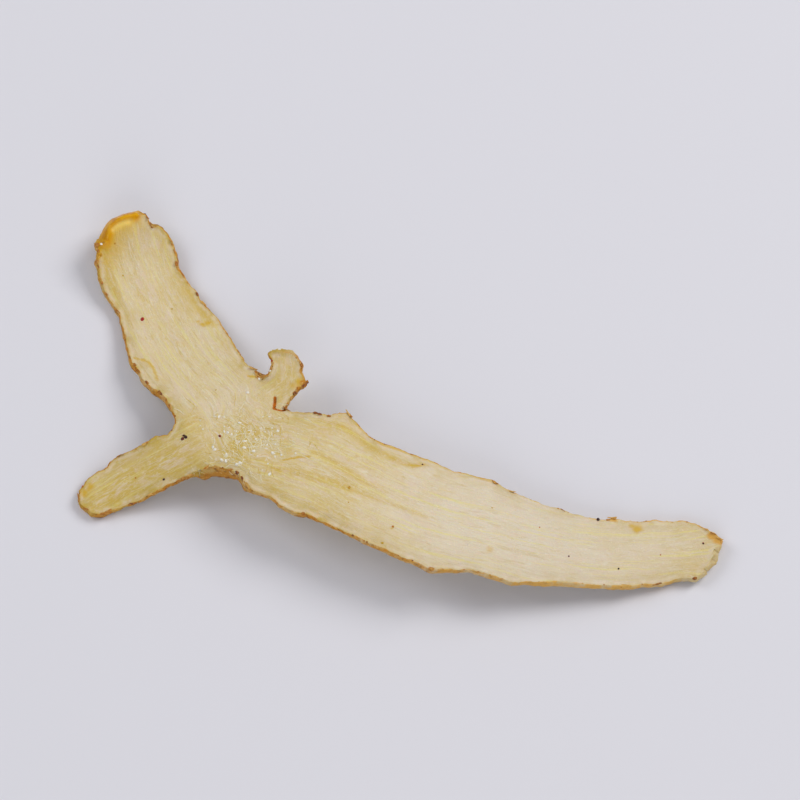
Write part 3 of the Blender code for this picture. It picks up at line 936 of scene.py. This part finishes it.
def blend(share, first, second):
    """A number that runs from the first to the second."""
    return add_node("Mix", {0: share, 2: first, 3: second}).outputs[0]


def layered(colour, *layers):
    """A colour with others laid over it in turn, each by its share."""
    for share, top_colour in layers:
        colour = add_node("Mix", {0: share, 6: colour, 7: top_colour}, data_type="RGBA").outputs[2]
    return colour


def spread(value, low, high):
    """0 where the value is at most low, 1 where it is at least high, and smooth between."""
    inputs = {"Value": value, "From Min": low, "From Max": high}
    return add_node("MapRange", inputs, interpolation_type="SMOOTHSTEP").outputs[0]


def kept(name, output="Fac"):
    """What the mesh keeps on its points under this name: a number, or a vector from the output Vector."""
    return add_node("Attribute", attribute_name=name, attribute_type="GEOMETRY").outputs[output]


def millimetres():
    """The place of the shaded point in millimetres, from the object's own coordinates."""
    place = add_node("TexCoord").outputs["Object"]
    return add_node("VectorMath", {0: place, "Scale": 1000.0}, operation="SCALE").outputs[0]


def bumped(height, strength, distance):
    return add_node("Bump", {"Strength": strength, "Distance": distance, "Height": height}).outputs["Normal"]


def new_group(name, inputs, outputs):
    """A node group to work on, the sockets that it is given, and the sockets of its results.

    An input whose value is None is a vector, any other is a number.
    """
    group = bpy.data.node_groups.new(name, "ShaderNodeTree")
    for label, value in inputs.items():
        kind = "NodeSocketVector" if value is None else "NodeSocketFloat"
        socket = group.interface.new_socket(label, in_out="INPUT", socket_type=kind)
        if value is not None:
            socket.default_value = value
    for label, kind in outputs.items():
        group.interface.new_socket(label, in_out="OUTPUT", socket_type=kind)
    given = group.nodes.new("NodeGroupInput")
    given.location = (-300, 0)
    results = group.nodes.new("NodeGroupOutput")
    results.location = (1900, 0)
    work_on(group)
    return group, given.outputs, results.inputs


def use_group(group, **inputs):
    return add_node("Group", inputs, node_tree=group).outputs


print("the helpers write a middle grey as", [round(value, 3) for value in shown(128, 128, 128)])

# %% [markdown]
# ## Shared effects
#
# Three effects are used more than once, so each is a node group. Fibre streaks are noise that is stretched
# along the fibre: it is read at fibre coordinates, squeezed across and drawn out lengthwise. Specks are noise
# that is the same in every direction, cut off at a level. Bark is the dried skin: an orange brown with darker
# and lighter flakes.

# %% Fibre streaks and specks
streaks_group, given, results = new_group(
    "fibre_streaks",
    {"Fibre": None, "Length": 12.0, "Width": 0.6, "Seed": 0.0, "Low": 0.35, "High": 0.65, "Curl": 0.0},
    {"Streaks": "NodeSocketFloat"})
rates = {0: maths("DIVIDE", 1.0, given["Length"]), 1: maths("DIVIDE", 1.0, given["Width"]), 2: 1.0}
rates = add_node("CombineXYZ", rates).outputs[0]
seed = add_node("CombineXYZ", {2: given["Seed"]}).outputs[0]
place = add_node("VectorMath", {0: given["Fibre"], 1: rates, 2: seed}, operation="MULTIPLY_ADD").outputs[0]
fibre_noise = add_node("TexNoise", {"Vector": place, "Scale": 1.0, "Detail": 3.0, "Roughness": 0.55,
                                    "Distortion": given["Curl"]})
feed(results["Streaks"], spread(fibre_noise.outputs["Fac"], given["Low"], given["High"]))

specks_group, given, results = new_group(
    "specks", {"Place": None, "Size": 1.0, "Low": 0.4, "High": 0.6}, {"Specks": "NodeSocketFloat"})
rate = maths("DIVIDE", 1.0, given["Size"])
speck_noise = add_node("TexNoise", {"Vector": given["Place"], "Scale": rate, "Detail": 3.0, "Roughness": 0.6})
feed(results["Specks"], spread(speck_noise.outputs["Fac"], given["Low"], given["High"]))


def specks(place, size, low, high):
    """Specks of a size in millimetres; a low and a high that lie close together make hard edges."""
    return use_group(specks_group, Place=place, Size=size, Low=low, High=high)[0]


print("groups:", [group.name for group in bpy.data.node_groups])

# %% Bark
BARK = shown(198, 134, 36)
BARK_DARK = shown(138, 72, 10)
BARK_LIGHT = shown(220, 178, 96)
BARK_TAN = shown(228, 184, 100)

bark_group, given, results = new_group(
    "dried_bark", {"Place": None}, {"Colour": "NodeSocketColor", "Height": "NodeSocketFloat"})
light_flakes = specks(given["Place"], 0.5, 0.54, 0.68)
dark_flakes = specks(given["Place"], 0.9, 0.52, 0.66)
feed(results["Colour"], layered(BARK, (light_flakes, BARK_LIGHT), (dark_flakes, BARK_DARK)))
feed(results["Height"], maths("ADD", light_flakes, specks(given["Place"], 0.22, 0.3, 0.7)))
print("bark group has", len(board.nodes), "nodes")

# %% [markdown]
# ## The flesh
#
# The colour is built in layers: straw to cream by the kept tone, pale and yellow fibres, long yellow streaks,
# painted grey shade on the far half, pinker places, gold fibres, short pale ones and a powder of starch. Then come
# the knot's olive fibres and white flecks, a painted glow of deeper yellow just inside the rim, a painted highlight
# on a band inside the rim's lip, stains, the thin bark, the cracks, the amber, and last a painted highlight on the
# pale crescent inside the amber lip. Some light enters the flesh and comes out again nearby, which Subsurface
# gives. The amber lip is smooth and has a clear coat. The bump holds fibres finer than the mesh.

# %% The flesh's colour
STRAW = shown(211, 182, 94)
CREAM = shown(231, 217, 189)
WHITE_FIBRE = shown(238, 229, 208)
YELLOW_FIBRE = shown(200, 170, 82)
# the deeper yellow of the painted glow just inside the rim
RIM_GLOW_YELLOW = shown(192, 163, 60)
OLIVE = shown(206, 172, 62)
STARCH = shown(244, 240, 230)
STREAK_YELLOW = shown(208, 173, 48)
# the grey of the painted shade on the far half of the long arm
PAINTED_SHADE_GREY = shown(214, 203, 187)
STAIN = shown(212, 172, 52)
PALE_YELLOW = shown(230, 217, 142)
AMBER = shown(222, 162, 0)
AMBER_THIN = shown(222, 178, 26)
AMBER_DEEP = shown(204, 138, 0)
# painted highlight: the pale colour laid on the crescent hollow inside the amber lip
CRESCENT_HIGHLIGHT = shown(252, 226, 126)
BLUSH = shown(226, 205, 186)
# the colour of the painted highlight on the rim's lip
LIP_HIGHLIGHT = shown(232, 217, 198)
CRACK_ORANGE = shown(198, 108, 12)

flesh, flesh_inputs = new_material("dried_flesh_surface")
work_on(flesh.node_tree)
place = millimetres()


def fibre_layer(length, width, seed, low, high, curl):
    """Streaks that follow the long arm's fibre, and a branch's fibre where the branch has taken over."""
    settings = {"Length": length, "Width": width, "Seed": seed, "Low": low, "High": high, "Curl": curl}
    long_part = use_group(streaks_group, Fibre=kept("grain", "Vector"), **settings)[0]
    branch_part = use_group(streaks_group, Fibre=kept("branch_grain", "Vector"), **settings)[0]
    return blend(kept("branch"), long_part, branch_part)


broad = fibre_layer(20.0, 2.6, 1.7, 0.34, 0.66, 0.4)
pale_fibre = fibre_layer(3.6, 0.50, 4.3, 0.50, 0.70, 1.5)
yellow_fibre = fibre_layer(5.0, 0.60, 8.9, 0.50, 0.72, 1.3)
fine_fibre = fibre_layer(1.5, 0.26, 6.1, 0.30, 0.70, 1.2)
short_fibre = fibre_layer(1.1, 0.32, 22.4, 0.54, 0.66, 1.8)
blush_fibre = fibre_layer(3.2, 1.1, 15.2, 0.46, 0.68, 1.4)
gold_fibre = fibre_layer(14.0, 0.42, 31.5, 0.54, 0.68, 0.3)
cloud = specks(place, 5.0, 0.35, 0.65)
powder = specks(place, 0.45, 0.52, 0.66)

tone = maths("SUBTRACT", kept("tone"), 0.26)
for layer, weight in ((cloud, 0.20), (broad, 0.16), (fine_fibre, 0.08)):
    tone = scaled(layer, weight, tone)
colour = layered(
    STRAW,
    (tone, CREAM),
    (times(yellow_fibre, 0.46), YELLOW_FIBRE),
    (times(pale_fibre, 0.48), WHITE_FIBRE),
    (times(kept("streak"), scaled(broad, 0.4, 0.58)), STREAK_YELLOW),
    # painted shade: the far half of the long arm turned greyer
    (times(kept("far_shade_and_tan"), 0.42), PAINTED_SHADE_GREY),
    (times(blush_fibre, 0.50), BLUSH),
    (times(gold_fibre, 0.62), PALE_YELLOW),
    (times(short_fibre, 0.30), WHITE_FIBRE),
    (times(powder, 0.24), WHITE_FIBRE))
print("flesh colour layers so far:", len(board.nodes), "nodes")

# %% The knot, the rim, the stains, the bark and the amber
knot_share = kept("knot")
knot_strands = fibre_layer(2.2, 0.62, 12.4, 0.46, 0.56, 1.6)
rim_distance = kept("inset")
shade_and_tan_share = kept("far_shade_and_tan")
# painted glow: a deeper yellow just inside the rim stands for light passing through the thin flesh there, weaker on
# the far half
rim_glow_share = times(scaled(specks(place, 3.6, 0.40, 0.62), 0.56, 0.36), scaled(shade_and_tan_share, -0.62, 1.0))
painted_rim_glow = maths("EXPONENT", maths("DIVIDE", rim_distance, -1.5))
# painted highlight: a pale band about half a millimetre inside the rim, where the raised lip catches the light
highlight_band_gap = maths("ABSOLUTE", scaled(rim_distance, 1.8, -1.0))
painted_lip_highlight = maths("SUBTRACT", 1.0, highlight_band_gap, clamp=True)
colour = layered(
    colour,
    (times(knot_share, times(knot_strands, 0.85)), OLIVE),
    (times(knot_share, specks(place, 0.75, 0.62, 0.69)), STARCH),
    (times(painted_rim_glow, rim_glow_share), RIM_GLOW_YELLOW),
    (times(painted_lip_highlight, times(specks(place, 2.2, 0.38, 0.58), 0.50)), LIP_HIGHLIGHT),
    (times(spread(kept("stain"), 0.10, 0.80), 0.88), STAIN))

bark = use_group(bark_group, Place=place)
torn_distance = scaled(specks(place, 1.3, 0.30, 0.75), -0.24, rim_distance)
worn = scaled(specks(place, 2.4, 0.36, 0.56), 0.65, 0.35)
bark_share = times(times(rest_of(spread(torn_distance, -0.07, 0.05)), worn), rest_of(kept("bare")))
bark_share = maths("MAXIMUM", bark_share, spread(kept("skirt"), 0.15, 0.60))
amber_share = spread(kept("amber"), 0.14, 0.80)
colour = layered(
    colour,
    (bark_share, layered(bark["Colour"], (times(shade_and_tan_share, 0.85), BARK_TAN))),
    (spread(kept("crack"), 0.35, 0.60), layered(CRACK_ORANGE, (specks(place, 0.9, 0.40, 0.60), BARK_DARK))),
    (times(kept("glow"), 0.82), AMBER_THIN),
    (amber_share, layered(AMBER, (specks(place, 1.6, 0.40, 0.62), AMBER_DEEP))),
    # painted highlight on the crescent hollow
    (times(kept("crescent"), 0.72), CRESCENT_HIGHLIGHT))
feed(flesh_inputs["Base Color"], colour)
print("flesh colour:", len(board.nodes), "nodes")

# %% Its gloss, its depth and its bump
feed(flesh_inputs["Roughness"], blend(amber_share, blend(bark_share, 0.66, 0.52), 0.30))
feed(flesh_inputs["Coat Weight"], times(amber_share, 0.06))
for name, value in {"Coat Roughness": 0.16, "Specular IOR Level": 0.22, "Subsurface Weight": 0.22,
                    "Subsurface Radius": (1.0, 0.65, 0.28), "Subsurface Scale": 0.0012}.items():
    flesh_inputs[name].default_value = value

flesh_height = pale_fibre
for layer, height in ((fine_fibre, 0.6), (short_fibre, 0.6), (powder, 0.7), (specks(place, 0.28, 0.3, 0.7), 0.35)):
    flesh_height = scaled(layer, height, flesh_height)
height = times(blend(bark_share, flesh_height, bark["Height"]), rest_of(amber_share))
feed(flesh_inputs["Normal"], bumped(height, 0.4, 0.00012))
body.materials.clear()
body.materials.append(flesh)
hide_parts("rhizome_slice")
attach(slice_piece, "root")
print("flesh material:", len(board.nodes), "nodes,", len(board.links), "links")

# %% [markdown]
# ## Small things on the slice
#
# Grains of soil, crumbs of starch, loose threads and flakes of bark lie on the slice. A thing for the face is
# let fall: a ray goes straight down on to the finished surface and tells where it lands and which way the
# surface faces there. A thing for the edge goes to the nearest point of the rim. Each kind is modelled once,
# every copy has a mesh of its own and a shade, and the copies of a kind are joined into one piece. The numbers
# are drawn in a fixed order.

# %% Land a copy on the slice
DROP_HEIGHT = 30 * MM
DOWN = Vector((0.0, 0.0, -1.0))

surface = BVHTree.FromObject(slice_piece, bpy.context.evaluated_depsgraph_get())
rim_top = np.flatnonzero((read_values(body, "inset") < 1e-6) & (upper > 0.99))
dice = random.Random(7)


def landed(x, y):
    """Where a thing let fall at x and y, in millimetres, lands, and the way the surface faces there."""
    spot, normal, _, _ = surface.ray_cast(Vector((x * MM, y * MM, DROP_HEIGHT)), DOWN)
    return on_rim(x, y)[:2] if spot is None else (spot, normal)


def on_rim(x, y):
    """The rim's point nearest to x and y, a way half up and half out of the slice, and the way along the rim."""
    number = rim_top[np.linalg.norm(points[rim_top, :2] - (x, y), axis=1).argmin()]
    out = Vector(ways_out[number])
    return Vector(points[number]) * MM, Vector((out.x, out.y, 1.0)).normalized(), Vector((-out.y, out.x, 0.0))


def any_way():
    angle = dice.uniform(0.0, 2.0 * math.pi)
    return Vector((math.cos(angle), math.sin(angle), 0.0))


def laid_copy(model, spot, normal, along, size, shade):
    """A copy of a small model, sized in millimetres, its x axis along a way and its z axis along the normal."""
    copy = model.copy()
    copy.data = model.data.copy()
    bpy.context.scene.collection.objects.link(copy)
    side = normal.cross(along).normalized()
    turn = Matrix((side.cross(normal), side, normal)).transposed().to_4x4()
    copy.data.transform(Matrix.Translation(spot) @ turn @ Matrix.Diagonal((*(v * MM for v in size), 1.0)))
    add_values(copy.data, "shade", np.full(len(copy.data.vertices), shade))
    return copy


def one_piece(model, copies, name, material):
    """Join the copies, put the model away, and give the piece its material and its body."""
    bpy.data.objects.remove(model)
    bpy.ops.object.select_all(action="DESELECT")
    for copy in copies:
        copy.select_set(True)
    bpy.context.view_layer.objects.active = copies[0]
    bpy.ops.object.join()
    piece = copies[0]
    piece.name = name
    piece.data.materials.clear()
    piece.data.materials.append(material)
    piece.data.shade_smooth()
    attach(piece, "root")
    print(name, "of", len(copies), "copies,", len(piece.data.polygons), "faces")


def lump_model(detail, roughness, seed, cuts=0):
    """A lump one unit across: an ico sphere whose points are pushed about, then cut finer and roughened again."""
    lump = new_shape(bpy.ops.mesh.primitive_ico_sphere_add, subdivisions=detail, radius=0.5)
    bpy.ops.object.mode_set(mode="EDIT")
    bpy.ops.mesh.select_all(action="SELECT")
    bpy.ops.transform.vertex_random(offset=roughness, seed=seed)
    if cuts:
        bpy.ops.mesh.subdivide(number_cuts=cuts, smoothness=0.7, fractal=1.3, seed=seed)
    bpy.ops.object.mode_set(mode="OBJECT")
    return lump


def small_material(name, dark, middle, light, roughness):
    """A material that goes from dark over middle to light by each copy's shade, with specks and a fine bump."""
    material, inputs = new_material(name)
    work_on(material.node_tree)
    place = millimetres()
    fine = specks(place, 0.12, 0.3, 0.7)
    shade = scaled(specks(place, 0.45, 0.35, 0.65), 0.44, maths("SUBTRACT", kept("shade"), 0.22))
    colour = layered(dark, (spread(shade, 0.0, 0.5), middle), (spread(shade, 0.5, 1.0), light))
    feed(inputs["Base Color"], colour)
    feed(inputs["Roughness"], scaled(fine, 0.2, roughness))
    feed(inputs["Normal"], bumped(fine, 0.5, 0.00005))
    return material


# %% [markdown]
# ## Grains of soil
#
# A few hard specks stuck to the flesh while it dried: one is red, some are nearly black, most are a yellow
# brown. A lump is rounded by a subdivision, and each copy is squashed and half sunk into the flesh, the yellow
# ones the flattest.

# %% Soil specks
# place, width in millimetres, and shade from 0, dark, to 1, light
GRAINS = [
    (-42.02, 15.29, 0.76, 0.50), (-35.26, -7.67, 0.62, 0.05), (-34.74, -7.42, 0.66, 0.02),
    (-35.05, -7.12, 0.50, 0.0), (-29.2, -7.55, 0.52, 0.20), (-38.3, -13.72, 0.46, 0.05),
    (-42.9, -13.03, 0.36, 0.85), (-8.19, -17.2, 0.58, 0.95), (-2.86, -26.52, 0.50, 1.0),
    (-1.14, -23.69, 0.44, 0.90), (3.64, -12.15, 0.34, 0.05), (27.3, -27.2, 0.32, 0.20), (35.36, -28.78, 0.38, 0.10),
    (49.14, -23.83, 0.42, 0.10), (-21.32, 5.4, 0.42, 0.60), (-45.24, 22.76, 0.34, 1.0), (-46.54, 27.43, 0.36, 0.85),
    (-51.9, -13.0, 0.40, 0.60), (-37.2, 17.1, 0.30, 1.0), (-29.9, 1.2, 0.30, 0.9), (14.9, -19.5, 0.28, 0.9),
    (22.6, -22.4, 0.26, 0.7), (-24.4, -17.4, 0.30, 0.9), (42.2, -25.9, 0.28, 0.8), (-8.32, -19.72, 0.28, 0.9),
    (32.11, -20.0, 0.58, 0.0),
]
SOIL_BLACK = shown(52, 16, 12)
SOIL_RED = shown(176, 22, 18)
SOIL_YELLOW = shown(196, 158, 40)

grain_model = lump_model(2, 0.10, 3)
apply_modifier(grain_model, "SUBSURF", levels=1, render_levels=1)
grains = []
for x, y, across, shade in GRAINS:
    size = (across, across * dice.uniform(0.75, 1.0), (0.75 - 0.4 * shade) * across)
    grains.append(laid_copy(grain_model, *landed(x, y), any_way(), size, shade))
one_piece(grain_model, grains, "soil_specks", small_material("dried_soil", SOIL_BLACK, SOIL_RED, SOIL_YELLOW, 0.6))

# %% [markdown]
# ## Crumbs of starch
#
# Where the fibres of the three arms tangle, the dried sap left white crumbs. The brightest have places of their
# own, the rest are strewn over the knot, thicker towards its middle. One bright crumb, beside the hook at the
# tip, is put where a glint lies: a painted highlight. A crumb has few faces, because there are many of them.

# %% Starch crumbs
BRIGHT_CRUMBS = [
    (-28.5, -6.8), (-27.9, -7.0), (-27.3, -7.3), (-25.1, -8.6), (-23.4, -8.3), (-25.2, -9.8), (-23.7, -10.45),
    (-30.3, -9.45), (-30.0, -9.9), (-28.1, -10.8), (-28.9, -11.75), (-28.2, -11.9), (-26.0, -5.3), (-29.4, -4.0),
    (-24.7, 0.4), (-19.8, -7.0), (-19.2, -11.3), (-20.6, -10.9), (-16.9, -11.1), (-21.1, -14.6), (-26.4, -12.6),
    # (-48.75, 27.33) is a white crumb put where the hook shows a glint: a painted highlight
    (-25.9, -12.4), (-23.0, 4.5), (-22.9, 3.0), (-22.0, 4.4), (-48.75, 27.33), (-20.9, 7.2), (-19.6, 7.4),
]
STREWN_CRUMBS = 46
KNOT_SPREAD = 3.6
BRIGHT_WIDTHS = (0.30, 0.48)
STREWN_WIDTHS = (0.14, 0.30)
CRUMB_HEIGHT = 0.45
CRUMB_GREY = shown(214, 200, 168)
CRUMB_CREAM = shown(236, 228, 206)
CRUMB_WHITE = shown(243, 238, 224)

crumb_model = lump_model(2, 0.22, 5)
places = [(x, y, dice.uniform(*BRIGHT_WIDTHS), 1.0) for x, y in BRIGHT_CRUMBS]
for _ in range(STREWN_CRUMBS):
    x = dice.gauss(KNOT[0], KNOT_SPREAD)
    y = dice.gauss(KNOT[1], KNOT_SPREAD * 0.8)
    places.append((x, y, dice.uniform(*STREWN_WIDTHS), dice.uniform(0.3, 0.9)))
crumbs = []
for x, y, across, shade in places:
    size = (across * dice.uniform(1.0, 1.7), across, CRUMB_HEIGHT * across)
    crumbs.append(laid_copy(crumb_model, *landed(x, y), any_way(), size, shade))
one_piece(crumb_model, crumbs, "starch_crumbs",
          small_material("dried_starch", CRUMB_GREY, CRUMB_CREAM, CRUMB_WHITE, 0.6))

# %% [markdown]
# ## Loose threads
#
# The knot is a felt of short fibres that the knife tore up, olive, straw and cream ones over each other. One
# straight thread is drawn out of a small disc, ring by ring, and tapers to both ends. A copy is laid along a
# curved path: each of its rings goes to one point of the path, where that point has landed on the slice.

# %% One straight thread
THREAD_RINGS = 9
THREAD_SIDES = 6

thread_model = new_shape(bpy.ops.mesh.primitive_circle_add, vertices=THREAD_SIDES, radius=0.5, fill_type="NGON")
bpy.ops.object.mode_set(mode="EDIT")
bpy.ops.mesh.select_all(action="SELECT")
for _ in range(THREAD_RINGS):
    bpy.ops.mesh.extrude_region_move(TRANSFORM_OT_translate={"value": (0.0, 0.0, 1.0)})
bpy.ops.mesh.select_all(action="SELECT")
bpy.ops.mesh.normals_make_consistent(inside=False)
bpy.ops.object.mode_set(mode="OBJECT")
for vert in thread_model.data.vertices:
    taper = math.sin(math.pi * (0.08 + 0.84 * vert.co.z / THREAD_RINGS)) ** 0.6
    vert.co.x *= taper
    vert.co.y *= taper
print("a thread has", len(thread_model.data.polygons), "faces")

# %% Lay the threads over the knot
THREADS = 190
THREAD_SHADES = (0.3, 0.65, 0.9, 1.1)
THREAD_OLIVE = shown(208, 176, 70)
THREAD_STRAW = shown(226, 204, 134)
THREAD_CREAM = shown(232, 222, 190)
THREAD_SINKS = 0.12
THREAD_LENGTHS = (1.0, 3.2)
THREAD_WIDTHS = (0.10, 0.20)
THREAD_BENDS = (-1.3, 1.3)
THREAD_WOBBLE = 0.16
FELT_SIZE = 3.0           # the threads lie in swirls about this big
FELT_TURN = 2.6
FELT_WAY = -0.7


def laid_thread(model, x, y, angle, length, bend, thickness, shade):
    """A copy of the thread along a curved path over the slice; its bend is the angle that it turns through."""
    copy = laid_copy(model, Vector(), Vector((0.0, 0.0, 1.0)), Vector((1.0, 0.0, 0.0)), (1000.0,) * 3, shade)
    step = length / THREAD_RINGS
    stations = []
    for ring in range(THREAD_RINGS + 1):
        stations.append((*landed(x, y), Vector((math.cos(angle), math.sin(angle), 0.0))))
        angle += bend / THREAD_RINGS + dice.gauss(0.0, THREAD_WOBBLE)
        x += step * math.cos(angle)
        y += step * math.sin(angle)
    for vert in copy.data.vertices:
        spot, normal, along = stations[round(vert.co.z)]
        side = normal.cross(along).normalized()
        vert.co = spot + (side * vert.co.x + normal * (vert.co.y - THREAD_SINKS)) * (thickness * MM)
    return copy


threads = []
for _ in range(THREADS):
    x = dice.gauss(KNOT[0], KNOT_SPREAD * 1.25)
    y = dice.gauss(KNOT[1], KNOT_SPREAD)
    angle = FELT_TURN * noise.noise(Vector((x / FELT_SIZE, y / FELT_SIZE, 4.0))) + FELT_WAY + dice.gauss(0.0, 0.5)
    length = dice.uniform(*THREAD_LENGTHS)
    thickness = dice.uniform(*THREAD_WIDTHS)
    if surface.ray_cast(Vector((x * MM, y * MM, DROP_HEIGHT)), DOWN)[0] is None:
        continue
    bend = dice.uniform(*THREAD_BENDS)
    threads.append(laid_thread(thread_model, x, y, angle, length, bend, thickness, dice.choice(THREAD_SHADES)))
one_piece(thread_model, threads, "loose_fibres",
          small_material("dried_fibre", THREAD_OLIVE, THREAD_STRAW, THREAD_CREAM, 0.55))

# %% [markdown]
# ## Knobs of bark
#
# The rim carries root scars and torn bits of bark, dark or orange, that stand out as small knobs. They are
# rough lumps stretched along the rim. The large ones have places of their own: the hook beside the tip, the
# flap at the stub's foot, the two crotches. Small ones follow the rim everywhere but on the amber and on the
# torn ends.

# %% Bark knobs
# the same four numbers as for a grain of soil
KNOBS = [
    (-49.6, 27.4, 1.10, 0.55), (-49.5, 26.2, 0.80, 0.45), (-49.7, 24.8, 0.80, 0.6), (-49.0, 21.4, 0.65, 0.5),
    (-16.9, -0.2, 0.85, 0.15), (-16.4, 0.2, 0.70, 0.55), (-15.5, 1.2, 0.60, 0.5), (-15.98, 4.74, 0.60, 0.30),
    (-22.7, 3.6, 0.55, 0.35), (-24.2, 3.9, 0.60, 0.6), (-33.0, 20.0, 0.70, 0.3), (-36.1, 25.1, 0.80, 0.35),
    (-31.9, 17.6, 0.50, 0.5), (15.3, -14.6, 0.80, 0.6), (33.8, -20.4, 0.75, 0.5), (-15.6, -22.7, 0.85, 0.5),
    (5.15, -31.0, 0.80, 0.6), (47.6, -30.1, 0.60, 0.3), (-41.2, -7.3, 0.55, 0.35), (-48.1, -17.4, 0.70, 0.15),
    (-43.6, -17.3, 0.60, 0.4), (-26.6, -14.4, 0.70, 0.1), (-25.7, -15.1, 0.65, 0.15), (-13.8, -3.6, 0.80, 0.2),
    (-12.8, -3.8, 0.70, 0.3), (-11.6, -4.2, 0.65, 0.5), (-39.7, 4.6, 0.65, 0.35), (-41.7, 7.5, 0.60, 0.4),
    (-36.8, -1.2, 0.70, 0.45), (-35.9, -3.2, 0.60, 0.3),
]
STREWN_KNOBS = 150
KNOB_WIDTHS = (0.16, 0.42)
KNOB_SINKS = 0.08 * MM
KNOB_DARK = shown(112, 52, 10)
KNOB_ORANGE = shown(182, 116, 26)
KNOB_LIGHT = shown(212, 168, 84)

knob_model = lump_model(1, 0.14, 9, 1)
places = [(*on_rim(x, y), across, shade) for x, y, across, shade in KNOBS]
plain_rim = rim_top[(arc[rim_top] < 0.2) & (bare[rim_top] < 0.4)]
for _ in range(STREWN_KNOBS):
    x, y, _ = points[dice.choice(plain_rim)]
    places.append((*on_rim(x, y), dice.uniform(*KNOB_WIDTHS), dice.uniform(0.1, 1.0)))
knobs = []
for spot, normal, along, across, shade in places:
    size = (across * dice.uniform(0.9, 1.6), across * dice.uniform(0.5, 0.9), across * dice.uniform(0.4, 0.7))
    knobs.append(laid_copy(knob_model, spot - normal * KNOB_SINKS, normal, along, size, shade))
one_piece(knob_model, knobs, "bark_knobs",
          small_material("dried_bark_knob", KNOB_DARK, KNOB_ORANGE, KNOB_LIGHT, 0.5))

# %% [markdown]
# ## Curls of bark
#
# Thin skin has peeled from the rim in places and curls up. A flake starts as a small grid. Its points are bent
# into a curl, one end is drawn narrower, and Solidify and a subdivision give it a thin body with soft edges.

# %% Bark curls
CURLS = 46
CURL_PLACES = [(-29.5, -13.0), (-27.5, -13.8), (-31.0, -12.6), (-17.4, -0.8), (-15.8, 1.8), (-15.2, 1.6),
               (-24.4, 4.2), (-22.6, 3.2), (-8.5, -4.3), (50.9, -22.0), (51.9, -22.7), (-49.8, 26.8)]
CURL_THICKNESS = 0.10
CURL_SINKS = 0.05 * MM
CURL_LEANS = (-0.5, 0.7)

curl_model = new_shape(bpy.ops.mesh.primitive_grid_add, x_subdivisions=5, y_subdivisions=2, size=1.0)
for vert in curl_model.data.vertices:
    share = vert.co.x + 0.5
    vert.co.y *= 1.0 - 0.65 * share ** 2
    vert.co.z = 0.9 * share ** 2 - 0.8 * vert.co.y ** 2
apply_modifier(curl_model, "SOLIDIFY", thickness=CURL_THICKNESS, offset=0.0)
apply_modifier(curl_model, "SUBSURF", levels=1, render_levels=1)
places = [on_rim(x, y) for x, y in CURL_PLACES]
while len(places) < CURLS:
    x, y, _ = points[dice.choice(plain_rim)]
    places.append(on_rim(x, y))
curls = []
for spot, normal, along in places:
    size = (dice.uniform(0.7, 1.7), dice.uniform(0.35, 0.7), dice.uniform(0.15, 0.45))
    lean = (normal + Vector((0.0, 0.0, dice.uniform(*CURL_LEANS)))).normalized()
    way = along * dice.choice((-1.0, 1.0))
    curls.append(laid_copy(curl_model, spot - normal * CURL_SINKS, lean, way, size, dice.uniform(0.2, 1.0)))
one_piece(curl_model, curls, "bark_curls",
          small_material("dried_bark_curl", KNOB_DARK, KNOB_ORANGE, KNOB_LIGHT, 0.5))

# %% [markdown]
# ## Sizes
#
# The dressed slice must keep the size of the CAD model. Both boxes are written down, so they can be compared.

# %% Write the boxes and finish
visual_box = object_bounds()
for number, axis in enumerate("xyz"):
    cad_span = (cad_box[0][number] / MM, cad_box[1][number] / MM)
    visual_span = (visual_box[0][number] / MM, visual_box[1][number] / MM)
    print(axis, "CAD", [round(v, 2) for v in cad_span], "visual", [round(v, 2) for v in visual_span])
